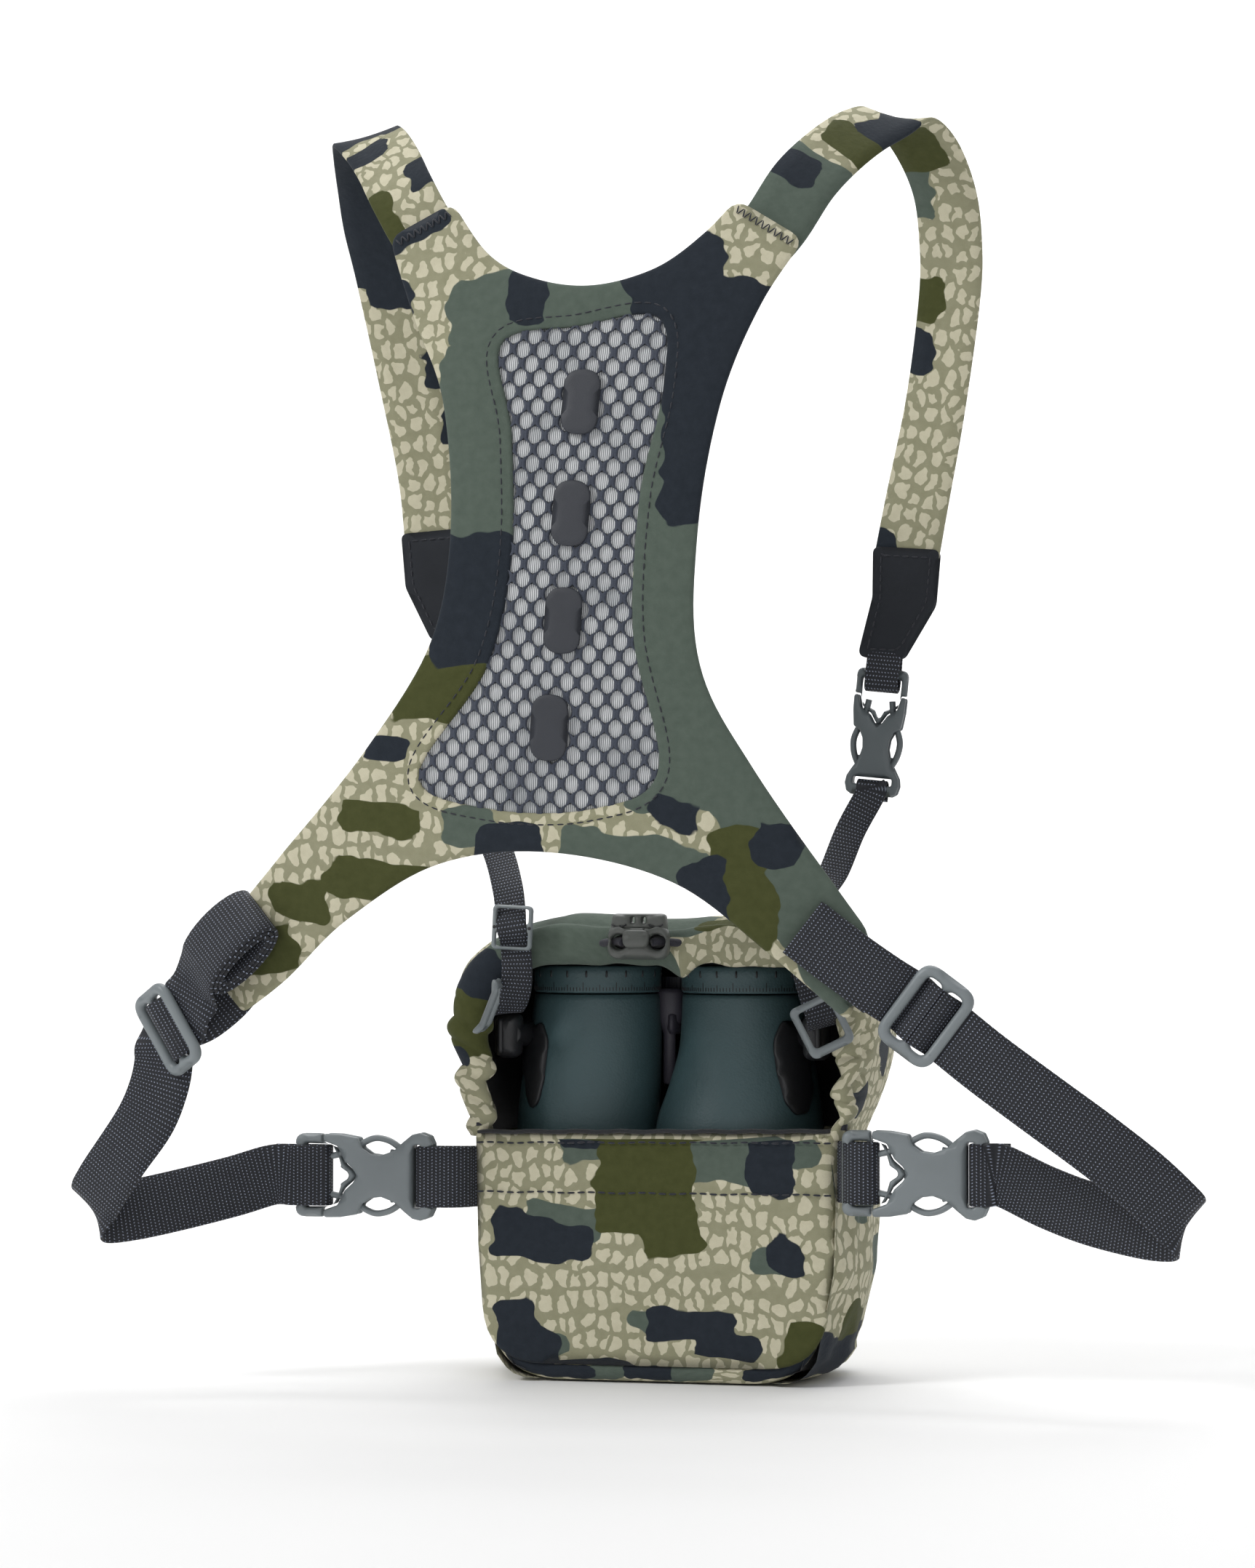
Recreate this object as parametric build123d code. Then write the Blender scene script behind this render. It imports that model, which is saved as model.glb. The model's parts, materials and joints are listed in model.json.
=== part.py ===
"""Binocular harness pack: a hooded chest pouch hung from a four-armed back yoke.

Units are millimetres. +Z is up, +X is to the right as the wearer-side panel is seen,
and +Y points away from the wearer. The origin is the centre of the pouch's base.
"""
import os
from math import cos, radians, sin, sqrt

from build123d import *

OUT = "parts"
os.makedirs(OUT, exist_ok=True)

# ---- driving dimensions -------------------------------------------------------------
GAP = 0.3                  # clearance between neighbouring solids
WALL = 3.0                 # padded fabric wall

POUCH_TOP = 100.0
# height, half width, far-wall distance of the pouch's outside
POUCH_SECTIONS = [(0, 68, 35), (10, 75, 41), (45, 82, 43.5), (75, 83, 43.5), (POUCH_TOP, 80, 42)]
POUCH_CORNER = 28.0
PANEL_FACE = -42.0         # wearer-side face of the back panel
PANEL_THICK = 3.2
PANEL_TOP = 103.0
BINDING_R = 3.4

HOOD_BASE = POUCH_TOP + GAP
HOOD_MOUTH = -38.0         # y of the hood's open side
HEM_DEPTH = 8.0
HEM_BASE = 106.5
# half outline of the hood's arch: distance from the middle, height
ARCH = [(79, 100.3), (80, 118), (91, 152), (78, 178), (44, 191), (0, 189)]
MOUTH_HALF = 71.0          # half width of the hood's mouth
MOUTH_TOP = 170.0
MOUTH_R = 26.0

YOKE_MID = (-10.0, 310.0)  # x and z of the yoke's own centre
YOKE_TILT = radians(4.0)
YOKE_CENTRE_Y = -140.0     # wearer-side face at the yoke's centre
YOKE_RADIUS = 700.0        # the yoke lies on a sphere, as on a back
YOKE_THICK = 3.0
MESH_THICK = 1.2

STRAP_WIDTH, STRAP_THICK = 27.0, 2.2
WEB_WIDTH, WEB_THICK = 25.0, 1.6
TAPE_WIDTH, TAPE_THICK = 12.7, 1.4

SIDE_BUCKLE = dict(length=60.0, width=36.0, thick=9.0, web=WEB_WIDTH)
TOP_BUCKLE = dict(length=53.0, width=22.5, thick=7.5, web=15.0)

EYE_Z = 158.0              # top of the binocular's barrels
RING_R, RING_H = 26.7, 12.0
CUP_R, CUP_H, CUP_WALL = 22.0, 9.0, 3.0
# height, x of the axis, radius
LEFT_BARREL = [(8, -36, 27), (60, -36.5, 30), (98, -36.5, 30.5), (120, -35, 29.5), (140, -33, 27.5),
               (EYE_Z, -32.5, 26.5)]
RIGHT_BARREL = [(8, 30.5, 27.5), (60, 29.8, 31.5), (98, 29, 33), (120, 30, 30.5), (140, 30.8, 27.8),
                (EYE_Z, 31, 26.5)]

nodes = {}


# ---- helpers ------------------------------------------------------------------------
def add(name, shape):
    nodes[name] = shape


def block(x0, x1, y0, y1, z0, z1):
    """A box given by its limits."""
    return Pos((x0 + x1) / 2, (y0 + y1) / 2, (z0 + z1) / 2) * Box(x1 - x0, y1 - y0, z1 - z0)


def plate(outline_edges, y0, y1):
    """A flat outline in X and Z, given as edges on the XZ plane, made solid from y0 to y1."""
    return extrude(make_face(outline_edges), amount=y1 - y0, dir=(0, 1, 0)).moved(Pos(0, y0, 0))


def unit(v):
    return v / v.length


def ribbon(stations, width, thick):
    """A strap through stations of (centre, width direction), as flat triangles between rectangles."""
    centres = [Vector(*c) for c, _ in stations]
    rings = []
    for i, (_, across) in enumerate(stations):
        along = unit(centres[min(i + 1, len(centres) - 1)] - centres[max(i - 1, 0)])
        side = Vector(*across)
        side = unit(side - along * side.dot(along))
        out = along.cross(side)
        corners = ((1, 1), (-1, 1), (-1, -1), (1, -1))
        rings.append([centres[i] + side * (a * width / 2) + out * (b * thick / 2) for a, b in corners])
    triangles = []
    for near, far in zip(rings, rings[1:]):
        for k in range(4):
            n = (k + 1) % 4
            triangles += [(near[k], near[n], far[n]), (near[k], far[n], far[k])]
    for end in (rings[0], rings[-1]):
        triangles += [(end[0], end[1], end[2]), (end[0], end[2], end[3])]
    solid = Solid(Shell([Face(Wire.make_polygon(corners)) for corners in triangles]))
    return solid if solid.volume > 0 else Solid(solid.wrapped.Reversed())


def yoke_point(t, s):
    """The yoke's own sideways and upward distances, as a point on the XZ plane."""
    dx = t * cos(YOKE_TILT) + s * sin(YOKE_TILT)
    dz = -t * sin(YOKE_TILT) + s * cos(YOKE_TILT)
    return (YOKE_MID[0] + dx, 0, YOKE_MID[1] + dz)


def yoke_y(x, z, depth=0.0):
    """y of the yoke's surface, depth millimetres behind its wearer-side face."""
    r = YOKE_RADIUS - depth
    return YOKE_CENTRE_Y + YOKE_RADIUS - sqrt(r * r - (x + 2) ** 2 - (z - YOKE_MID[1]) ** 2)


def on_yoke(outline, front, back):
    """An outline on the yoke's sphere, between two depths behind its wearer-side face."""
    centre = Pos(-2, YOKE_CENTRE_Y + YOKE_RADIUS, YOKE_MID[1])
    shell = centre * Sphere(YOKE_RADIUS - front) - centre * Sphere(YOKE_RADIUS - back)
    return shell & plate(outline, -190, -60)


# ---- pouch --------------------------------------------------------------------------
def pouch_section(z, half, far, inset):
    """One level of the pouch: square on the wearer's side, rounded on the far side."""
    near = -70.0
    depth = far - inset - near
    centre = (near + far - inset) / 2
    return Plane.XY.offset(z) * Pos(0, centre) * RectangleRounded(2 * (half - inset), depth, POUCH_CORNER - inset)


def make_pouch():
    outside = loft([pouch_section(z, h, f, 0) for z, h, f in POUCH_SECTIONS])
    levels = [(WALL, 68, 35)] + POUCH_SECTIONS[1:-1] + [(POUCH_TOP + 1, 80, 42)]
    inside = loft([pouch_section(z, h, f, WALL) for z, h, f in levels])
    near = PANEL_FACE + PANEL_THICK + GAP
    add("pouch_shell", outside - inside - block(-100, 100, -90, near, -5, 110))

    panel = [(-70.5, PANEL_TOP - 2), (-67, 8.5), (69, 8.5), (70.5, PANEL_TOP)]
    edges = Polyline(*[(x, 0, z) for x, z in panel], close=True)
    face = fillet(make_face(edges).vertices().sort_by(Axis.Z)[:2], 18)
    add("pouch_back_panel", extrude(face, amount=PANEL_THICK, dir=(0, 1, 0)).moved(Pos(0, PANEL_FACE, 0)))

    route = [(-75.0, PANEL_TOP - 2), (-71.0, 4.2), (73.0, 4.2), (75.0, PANEL_TOP)]
    path = FilletPolyline(*[(x, PANEL_FACE, z) for x, z in route], radius=20)
    add("pouch_binding", sweep(Plane(path @ 0, z_dir=path % 0) * Circle(BINDING_R), path))


def make_chest_band():
    """The sleeve across the back panel that the chest strap is sewn under."""
    band = block(-70, 70, PANEL_FACE - 2.4, PANEL_FACE - 0.05, 72, PANEL_TOP - 0.5)
    add("pouch_chest_band", band)


# ---- hood ---------------------------------------------------------------------------
def arch_face(y, inset, scale):
    """The hood's arch at one distance from the wearer, drawn inwards and closed along its base."""
    points = []
    for half, z in ARCH:
        reach = half * scale - inset
        top = HOOD_BASE + (z - HOOD_BASE) * scale
        points.append((reach, top - (inset if z > 160 else 0)))
    right = [(x, y, z) for x, z in points if x > 0]
    crown = (0, y, points[-1][1])
    left = [(-x, y, z) for x, _, z in reversed(right)]
    curve = Spline(*right, crown, *left)
    return make_face([curve, Line(left[-1], right[0])])


HOOD_LEVELS = [(HOOD_MOUTH, 0.97), (-14, 1.0), (16, 0.98), (33, 0.9), (42.5, 0.7)]


def make_hood():
    outside = loft([arch_face(y, 0, k) for y, k in HOOD_LEVELS])
    inner = [(HOOD_MOUTH - 3, 0.97), (-14, 1.0), (16, 0.98), (31, 0.9), (39, 0.7)]
    inside = loft([arch_face(y, WALL, k).moved(Pos(0, 0, -0.02)) for y, k in inner])
    below = block(-76, 76, HOOD_MOUTH - 1, 38, HOOD_BASE - 1, HOOD_BASE + 0.5)
    add("hood", outside - inside - below)

    ring = extrude(arch_face(HOOD_MOUTH - GAP - HEM_DEPTH, 0, 0.95), amount=HEM_DEPTH, dir=(0, 1, 0))
    mouth = Pos(0, HOOD_MOUTH - 10, 0) * plate_mouth()
    hem = ring - mouth - block(-120, 120, -60, -20, 90, HEM_BASE)
    route = [(-71, HEM_BASE - 3), (-77, 150), (-52, 179), (52, 179), (77, 150), (71, HEM_BASE - 3)]
    y_cord = HOOD_MOUTH - GAP - HEM_DEPTH / 2
    path = FilletPolyline(*[(x, y_cord, z) for x, z in route], radius=18)
    section = Plane(path @ 0, z_dir=path % 0)
    add("hood_hem", hem - sweep(section * Circle(1.9), path))
    cord = sweep(section * Circle(1.5), path) - block(-120, 120, -60, -20, 90, HEM_BASE + 1)
    add("hood_drawcord", cord)


def plate_mouth():
    """The hood's mouth as a solid through the hem."""
    height = MOUTH_TOP - 60
    face = Plane.XZ * Pos(0, 60 + height / 2) * RectangleRounded(2 * MOUTH_HALF, height, MOUTH_R)
    return extrude(face, amount=30, both=True)


LOCK_X, LOCK_Z = -3.0, 182.0
LOCK_BACK = HOOD_MOUTH - GAP - HEM_DEPTH - 0.3
LOCK_FRONT = LOCK_BACK - 10.0
BUTTON_TRAVEL = 2.5


def make_cord_lock():
    body = extrude(Plane.XZ.offset(-LOCK_BACK) * Pos(LOCK_X, LOCK_Z - 2) * RectangleRounded(25.5, 13, 5),
                   amount=LOCK_BACK - LOCK_FRONT)
    flange = block(LOCK_X - 10, LOCK_X + 10, LOCK_BACK - 8, LOCK_BACK, LOCK_Z + 3, LOCK_Z + 9.5)
    body += flange
    for side in (-1, 1):
        eye = Cylinder(3.2, 40, rotation=(90, 0, 0))
        body -= Pos(LOCK_X + side * 8.3, LOCK_FRONT, LOCK_Z - 2) * eye
    shaft = block(LOCK_X - 3.5, LOCK_X + 3.5, LOCK_FRONT - 1, LOCK_FRONT + 7, LOCK_Z - 7.5, LOCK_Z + 6.5)
    body -= shaft
    add("cord_lock_body", body)

    stem = block(LOCK_X - 3.2, LOCK_X + 3.2, LOCK_FRONT - 0.5, LOCK_FRONT + 6.6, LOCK_Z - 3.8, LOCK_Z + 4.5)
    cap = block(LOCK_X - 5.2, LOCK_X + 5.2, LOCK_FRONT - 3.4, LOCK_FRONT - 0.4, LOCK_Z - 4, LOCK_Z + 4.7)
    cap = fillet(cap.edges().filter_by(Axis.Y), 2.5)
    add("cord_lock_button", stem + cap)
    coil = Cylinder(2.2, 3.2) - Cylinder(1.3, 4)
    add("cord_lock_spring", Pos(LOCK_X, LOCK_FRONT + 3.2, LOCK_Z - 5.6) * coil)


# ---- yoke ---------------------------------------------------------------------------
def yoke_curve(points):
    return Spline(*[yoke_point(t, s) for t, s in points])


def yoke_line(a, b):
    return Line(yoke_point(*a), yoke_point(*b))


NECK = [(-66, 161), (-47, 139.5), (-26, 130.5), (-3, 129), (21, 137), (38, 151), (50, 166)]
RIGHT_FLANK = [(78, 151), (64, 124), (52, 84), (47.5, 30), (52, -18), (76, -58), (123, -118)]
ARMPIT = [(116, -153), (84, -128), (46, -103), (-3, -94.5), (-49, -102), (-88, -124), (-137, -170)]
LEFT_FLANK = [(-131, -121), (-82, -59), (-57, -15), (-52, 30), (-60, 80), (-76, 113), (-91, 146)]
WINDOW = [(-8, 112), (24, 117), (29, 90), (23.5, 45), (25, -8), (38, -60), (12, -76.5), (-30, -79), (-59, -68),
          (-33, -24), (-26, 20), (-30, 68), (-38, 104)]


def yoke_outline():
    return [yoke_curve(NECK), yoke_line(NECK[-1], RIGHT_FLANK[0]), yoke_curve(RIGHT_FLANK),
            yoke_line(RIGHT_FLANK[-1], ARMPIT[0]), yoke_curve(ARMPIT), yoke_line(ARMPIT[-1], LEFT_FLANK[0]),
            yoke_curve(LEFT_FLANK), yoke_line(LEFT_FLANK[-1], NECK[0])]


def window_outline(inset):
    """The window's edge, drawn in by inset towards the window's middle line."""
    points = []
    for t, s in WINDOW:
        points.append(yoke_point(t - inset * (1 if t > -5 else -1), s - inset * (1 if s > 20 else -1)))
    return [Spline(*points, periodic=True)]


def make_yoke():
    window = plate(window_outline(0), -190, -60)
    add("yoke_panel", on_yoke(yoke_outline(), 0, YOKE_THICK) - window)
    add("yoke_mesh", on_yoke(window_outline(0.4), 0.6, 0.6 + MESH_THICK))
    add("yoke_mesh_backing", on_yoke(window_outline(0.4), 1.9, YOKE_THICK))
    pads = None
    for t, s in ((-3, 82), (-3, 38), (-3, -4), (-6, -46)):
        x, _, z = yoke_point(t, s)
        face = Plane.XZ * Pos(x, z) * SlotOverall(26, 15, rotation=90)
        pad = extrude(face, amount=200, both=True) & on_yoke(window_outline(1), -0.9, 0.5)
        pads = pad if pads is None else pads + pad
    add("yoke_pads", pads)


# ---- straps -------------------------------------------------------------------------
RIGHT_SHOULDER = [((58, -114.5, 449), (0.85, 0, -0.53)), ((66, -114, 462), (0.85, 0, -0.53)),
                  ((76, -104, 481), (0.84, 0, -0.5)), ((87, -90, 496), (0.75, -0.2, -0.6)),
                  ((97, -76, 506), (0.8, -0.2, -0.5)), ((106, -61, 511), (0.97, 0, -0.22)),
                  ((114.5, -46, 503), (0.99, -0.1, 0.02)), ((120, -31, 487), (0.98, -0.16, -0.03)),
                  ((121, -20, 468), (0.98, -0.17, -0.06)), ((119.5, -13, 446), (0.97, -0.22, -0.06)),
                  ((113, -8.5, 403), (0.95, -0.25, -0.06)), ((104.5, -5.5, 362), (0.98, -0.1, -0.12)),
                  ((99.5, -5, 336), (0.98, 0, -0.16))]
LEFT_SHOULDER = [((-66, -113.5, 450), (0.92, 0, 0.39)), ((-78, -111.3, 465), (0.92, 0, 0.39)),
                 ((-88, -106, 481), (0.94, 0, 0.33)), ((-98, -93, 496), (0.96, 0, 0.28)),
                 ((-108, -79, 507), (0.96, 0, 0.27)), ((-115.5, -66, 511), (0.97, 0, 0.22)),
                 ((-119.5, -52, 506), (0.99, 0, 0.12)), ((-122.5, -37, 495), (1, 0, 0.02)),
                 ((-123.5, -25, 480), (1, 0, -0.03)), ((-122, -14.5, 460), (1, 0, -0.05)),
                 ((-116, -7.5, 422), (1, 0, -0.05)), ((-107.5, -5.5, 380), (1, 0, 0)),
                 ((-102, -5, 348), (0.99, 0, 0.12))]
RIGHT_SIDE = [((128.5, -116.2, 149.5), (-0.58, 0, -0.82)), ((150, -114.5, 133.5), (-0.56, 0, -0.83)),
              ((171, -112.5, 118), (-0.55, -0.08, -0.83)), ((190, -110, 104), (-0.5, -0.13, -0.86)),
              ((207, -104, 90), (-0.45, -0.1, -0.88)), ((219, -99, 78), (-0.48, 0, -0.87)),
              ((222.5, -94, 72.5), (-0.45, 0, -0.89)), ((219, -89, 70), (-0.38, 0, -0.92)),
              ((207, -83.5, 70), (-0.24, 0, -0.97)), ((184, -72, 74), (-0.12, 0, -0.99)),
              ((165, -59.5, 79.5), (-0.08, 0, -0.99)), ((152, -50, 85.5), (0, 0, -1)),
              ((144, -46.5, 87), (0, 0, -1))]
LEFT_SIDE = [((-188.5, -113.5, 137.5), (0.68, 0, -0.73)), ((-190, -112, 125), (0.9, 0, -0.42)),
             ((-195, -110, 108), (0.97, 0, -0.26)), ((-208, -106, 92), (0.9, -0.15, -0.39)),
             ((-217, -101, 80), (0.75, -0.1, -0.65)), ((-222, -96, 72.5), (0.62, 0, -0.78)),
             ((-220, -90, 69), (0.5, 0, -0.85)), ((-209, -85, 67.5), (0.3, 0, -0.95)),
             ((-193, -76, 70.5), (0.1, 0, -0.99)), ((-174, -61, 76), (0.04, 0, -1)),
             ((-160, -50, 82), (0, 0, -1)), ((-152.8, -46.5, 83), (0, 0, -1))]
RIGHT_TAPE = [((84, -6, 236.6), (0.98, 0, -0.2)), ((78, -14, 226), (0.98, 0, -0.18)),
              ((73, -28, 208), (0.99, 0, -0.1)), ((70, -42, 192), (1, 0, 0)), ((67.5, -50.5, 181), (1, 0, 0.05)),
              ((65.5, -50.5, 169), (0.97, 0, 0.2)), ((61, -49, 158), (0.95, 0, 0.2)),
              ((60, -40, 148), (0.95, 0, 0.2))]
LEFT_TAPE = [((-88, -6, 246.2), (0.98, 0, 0.2)), ((-79, -17, 233), (0.98, 0, 0.15)),
             ((-67.5, -32, 217), (1, 0, 0)), ((-60, -46, 202), (1, 0, 0)), ((-56.5, -51.5, 190), (1, 0, 0.05)),
             ((-54.8, -52, 178), (1, 0, 0.08)), ((-54.5, -50, 168), (0.97, 0.1, 0.1)),
             ((-57, -44, 159), (0.92, 0.3, 0.1)), ((-60.5, -38, 151), (0.88, 0.4, 0.1))]


def make_straps():
    add("right_shoulder_strap", ribbon(RIGHT_SHOULDER, STRAP_WIDTH, STRAP_THICK))
    add("left_shoulder_strap", ribbon(LEFT_SHOULDER, STRAP_WIDTH, STRAP_THICK))
    add("right_side_strap", ribbon(RIGHT_SIDE, WEB_WIDTH, WEB_THICK))
    add("left_side_strap", ribbon(LEFT_SIDE, WEB_WIDTH, WEB_THICK))
    add("right_lower_tape", ribbon(RIGHT_TAPE, TAPE_WIDTH, TAPE_THICK))
    add("left_lower_tape", ribbon(LEFT_TAPE, TAPE_WIDTH, TAPE_THICK))


def make_tab(name, x_top, z_top, x_bottom, z_bottom):
    """The folded reinforcement at the end of a shoulder strap, open between its two plates."""
    outline = [(x_top - 15, z_top), (x_top + 15, z_top), (x_bottom + 10, z_bottom), (x_bottom - 10, z_bottom)]
    face = fillet(make_face(Polyline(*[(x, 0, z) for x, z in outline], close=True)).vertices(), 3)
    tab = extrude(face, amount=7.6, dir=(0, 1, 0)).moved(Pos(0, -8.8, 0))
    pocket = block(-300, 300, -7.3, -2.7, (z_top + z_bottom) / 2, z_top + 5)
    add(name, tab - pocket)


def web_loop(width, bar_thick, web_thick, reach):
    """Webbing folded round a bar: two plies along +X from the slot, joined inside the slot."""
    half = bar_thick / 2 + GAP
    outer = Pos(reach / 2 - web_thick / 2, 0, 0) * Box(reach + web_thick, width, 2 * (half + web_thick))
    inner = Pos(reach / 2 + web_thick / 2, 0, 0) * Box(reach + web_thick, width + 1, 2 * half)
    return outer - inner


# ---- buckles and sliders ------------------------------------------------------------
SLOT_AT = 0.13             # middle of the plug's webbing slot, as a part of the buckle's length
SOCKET_SLOT_AT = 0.9       # the same for the socket


def buckle_male(length, width, thick, web):
    """The plug's frame and middle tongue; +X runs from the plug to the socket."""
    frame_end = 0.24 * length
    frame = Pos(frame_end / 2, 0, 0) * Box(frame_end, width, thick)
    frame = fillet(frame.edges().filter_by(Axis.Z), 0.1 * width)
    slot = Pos(SLOT_AT * length, 0, 0) * Box(0.09 * length, web + 1.2, thick + 1)
    tongue = Pos(0.4 * length, 0, 0) * Box(0.34 * length, 0.16 * width, 0.4 * thick)
    return frame - slot + tongue


def buckle_prong(length, width, thick, side):
    """One flexing prong with its barb, just clear of the plug's frame."""
    root, tip = 0.245 * length, 0.7 * length
    inner, outer, barb = 0.16 * width, 0.3 * width, 0.44 * width
    points = [(root, side * inner), (root, side * (outer + 1)), (0.5 * length, side * outer),
              (0.56 * length, side * barb), (0.64 * length, side * barb), (tip, side * (inner + 1.5))]
    return extrude(make_face(Polyline(*points, close=True)), amount=0.22 * thick, both=True)


def buckle_female(length, width, thick, web):
    """The socket: a hollow housing open towards the plug, side windows and a webbing bar."""
    start, end = 0.27 * length, length
    half = width / 2
    upper = [(start, half), (0.46 * length, half - 0.5), (0.6 * length, 0.4 * width),
             (0.8 * length, 0.38 * width), (0.84 * length, half), (end, half)]
    points = upper + [(x, -y) for x, y in reversed(upper)]
    body = extrude(make_face(Polyline(*points, close=True)), amount=thick / 2, both=True)
    cavity_end = 0.76 * length
    cavity = Pos((start + cavity_end) / 2 - 1, 0, 0) * Box(cavity_end - start + 2, 0.74 * width, 0.6 * thick)
    window = Pos(0.585 * length, 0, 0) * Box(0.19 * length, width + 2, 0.6 * thick)
    slot = Pos(SOCKET_SLOT_AT * length, 0, 0) * Box(0.08 * length, web + 1.2, thick + 1)
    return body - cavity - window - slot


def place_buckle(prefix, spec, location):
    size = {k: spec[k] for k in ("length", "width", "thick")}
    add(prefix + "_male", location * buckle_male(**spec))
    add(prefix + "_prong_a", location * buckle_prong(side=1, **size))
    add(prefix + "_prong_b", location * buckle_prong(side=-1, **size))
    add(prefix + "_female", location * buckle_female(**spec))


LEFT_SIDE_BUCKLE = Location(Plane(origin=(-150.5, -46.5, 83), x_dir=(1, 0, 0), z_dir=(0, -1, 0)))
RIGHT_SIDE_BUCKLE = Location(Plane(origin=(80, -46.5, 87), x_dir=(1, 0, 0), z_dir=(0, -1, 0)))
RIGHT_TOP_BUCKLE = Location(Plane(origin=(90.5, -5, 293), x_dir=(-0.1, 0, -1), z_dir=(0, -1, 0)))
LEFT_TOP_BUCKLE = Location(Plane(origin=(-94, -5, 303), x_dir=(0.1, 0, -1), z_dir=(0, -1, 0)))
TAB_EDGE = 78.8            # where the chest tabs meet the panel's binding


def make_buckles():
    place_buckle("left_side", SIDE_BUCKLE, LEFT_SIDE_BUCKLE)
    place_buckle("right_side", SIDE_BUCKLE, RIGHT_SIDE_BUCKLE)
    place_buckle("left_top", TOP_BUCKLE, LEFT_TOP_BUCKLE)
    place_buckle("right_top", TOP_BUCKLE, RIGHT_TOP_BUCKLE)


def make_webbing_loops():
    """The folded webbing in each buckle's slot."""
    length, thick = SIDE_BUCKLE["length"], SIDE_BUCKLE["thick"]
    plug, socket = SLOT_AT * length, SOCKET_SLOT_AT * length
    to_left = Rot(0, 180, 0)

    left_reach = 150.5 - socket - TAB_EDGE
    add("left_chest_tab", LEFT_SIDE_BUCKLE * Pos(socket, 0, 0) * web_loop(WEB_WIDTH, thick, WEB_THICK, left_reach))
    right_reach = 80 + plug - TAB_EDGE
    add("right_chest_tab",
        RIGHT_SIDE_BUCKLE * Pos(plug, 0, 0) * to_left * web_loop(WEB_WIDTH, thick, WEB_THICK, right_reach))

    cap = Pos(9.3, 0, 0) * Box(2.0, WEB_WIDTH, thick + 2 * (GAP + WEB_THICK))
    fold = web_loop(WEB_WIDTH, thick, WEB_THICK, 9.0) + cap
    nodes["left_side_strap"] += LEFT_SIDE_BUCKLE * Pos(plug, 0, 0) * to_left * fold
    nodes["right_side_strap"] += RIGHT_SIDE_BUCKLE * Pos(socket, 0, 0) * fold

    top_plug = SLOT_AT * TOP_BUCKLE["length"]
    small = web_loop(14.0, TOP_BUCKLE["thick"], TAPE_THICK, top_plug + 3.4)
    add("left_top_loop", LEFT_TOP_BUCKLE * Pos(top_plug, 0, 0) * to_left * small)
    add("right_top_loop", RIGHT_TOP_BUCKLE * Pos(top_plug, 0, 0) * to_left * small)


def slider(length, width, thick, web):
    """A rounded ladder of two slots and a middle bar, with its length along X."""
    bar = 3.0
    ring = extrude(RectangleRounded(length, width, 4.0), amount=thick / 2, both=True)
    slot_length = (length - 3 * bar) / 2
    for side in (-1, 1):
        ring -= Pos(side * (bar + slot_length) / 2, 0, 0) * Box(slot_length, web + 1.0, thick + 1)
    return ring


def place_slider(centre, along, across, size):
    """A slider at centre, its length near along and its bars along across."""
    across = unit(Vector(*across))
    along = Vector(*along)
    along = unit(along - across * along.dot(across))
    return Location(Plane(centre, x_dir=along, z_dir=along.cross(across))) * slider(*size)


YOKE_END_RIGHT = [((79, -126.3, 187), (-0.6, 0, -0.8)), ((95, -122.2, 174.5), (-0.6, 0, -0.8)),
                  ((111, -118, 162), (-0.6, 0, -0.8)), ((122, -116.6, 153.8), (-0.58, 0, -0.8))]
YOKE_END_LEFT = [((-134, -116.5, 166), (0.5, 0, -0.86)), ((-150, -113.5, 158), (0.5, 0, -0.86)),
                 ((-166, -113, 150), (0.5, 0, -0.86)), ((-177, -115, 146.5), (0.5, 0, -0.86))]
ROLL_LONG, ROLL_SHORT = 36.0, 16.0


def make_side_hardware():
    add("yoke_webbing_ends", ribbon(YOKE_END_RIGHT, WEB_WIDTH, WEB_THICK) + ribbon(YOKE_END_LEFT, WEB_WIDTH, WEB_THICK))
    side = (22.5, 34.5, 3.6, WEB_WIDTH)
    add("right_side_slider", place_slider((125.5, -113.2, 152.5), (0.79, 0.1, -0.61), (-0.6, 0, -0.8), side))
    add("left_side_slider", place_slider((-184, -107.4, 146), (0.8, -0.25, 0.5), (0.5, 0, -0.86), side))
    small = (18, 18, 2.6, TAPE_WIDTH)
    add("tape_triglides", place_slider((66.5, -54.2, 186), (0, 0, 1), (1, 0, 0), small)
        + place_slider((-55.5, -55.2, 186), (0.05, 0, 1), (1, 0, -0.05), small))
    bent = (18, 20, 2.6, TAPE_WIDTH)
    add("lug_sliders", place_slider((68, -54, 146.5), (0.5, 0.3, -0.75), (0.8, 0.1, 0.6), bent)
        + place_slider((-66, -58.8, 152), (-0.3, 0.4, -0.95), (0.5, 0.8, 0.2), bent))
    axis = Plane((-149, -131, 172), x_dir=(-0.66, 0, -0.75), z_dir=(-0.68, 0.42, 0.6))
    roll = extrude(Ellipse(ROLL_LONG / 2, ROLL_SHORT / 2), amount=WEB_WIDTH)
    add("left_strap_roll", Location(axis) * roll)


# ---- binocular ----------------------------------------------------------------------
TUBE_R, TUBE_TOP = 20.0, 176.0
OBJECTIVE_R, OBJECTIVE_DEPTH = 21.0, 7.0


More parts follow.
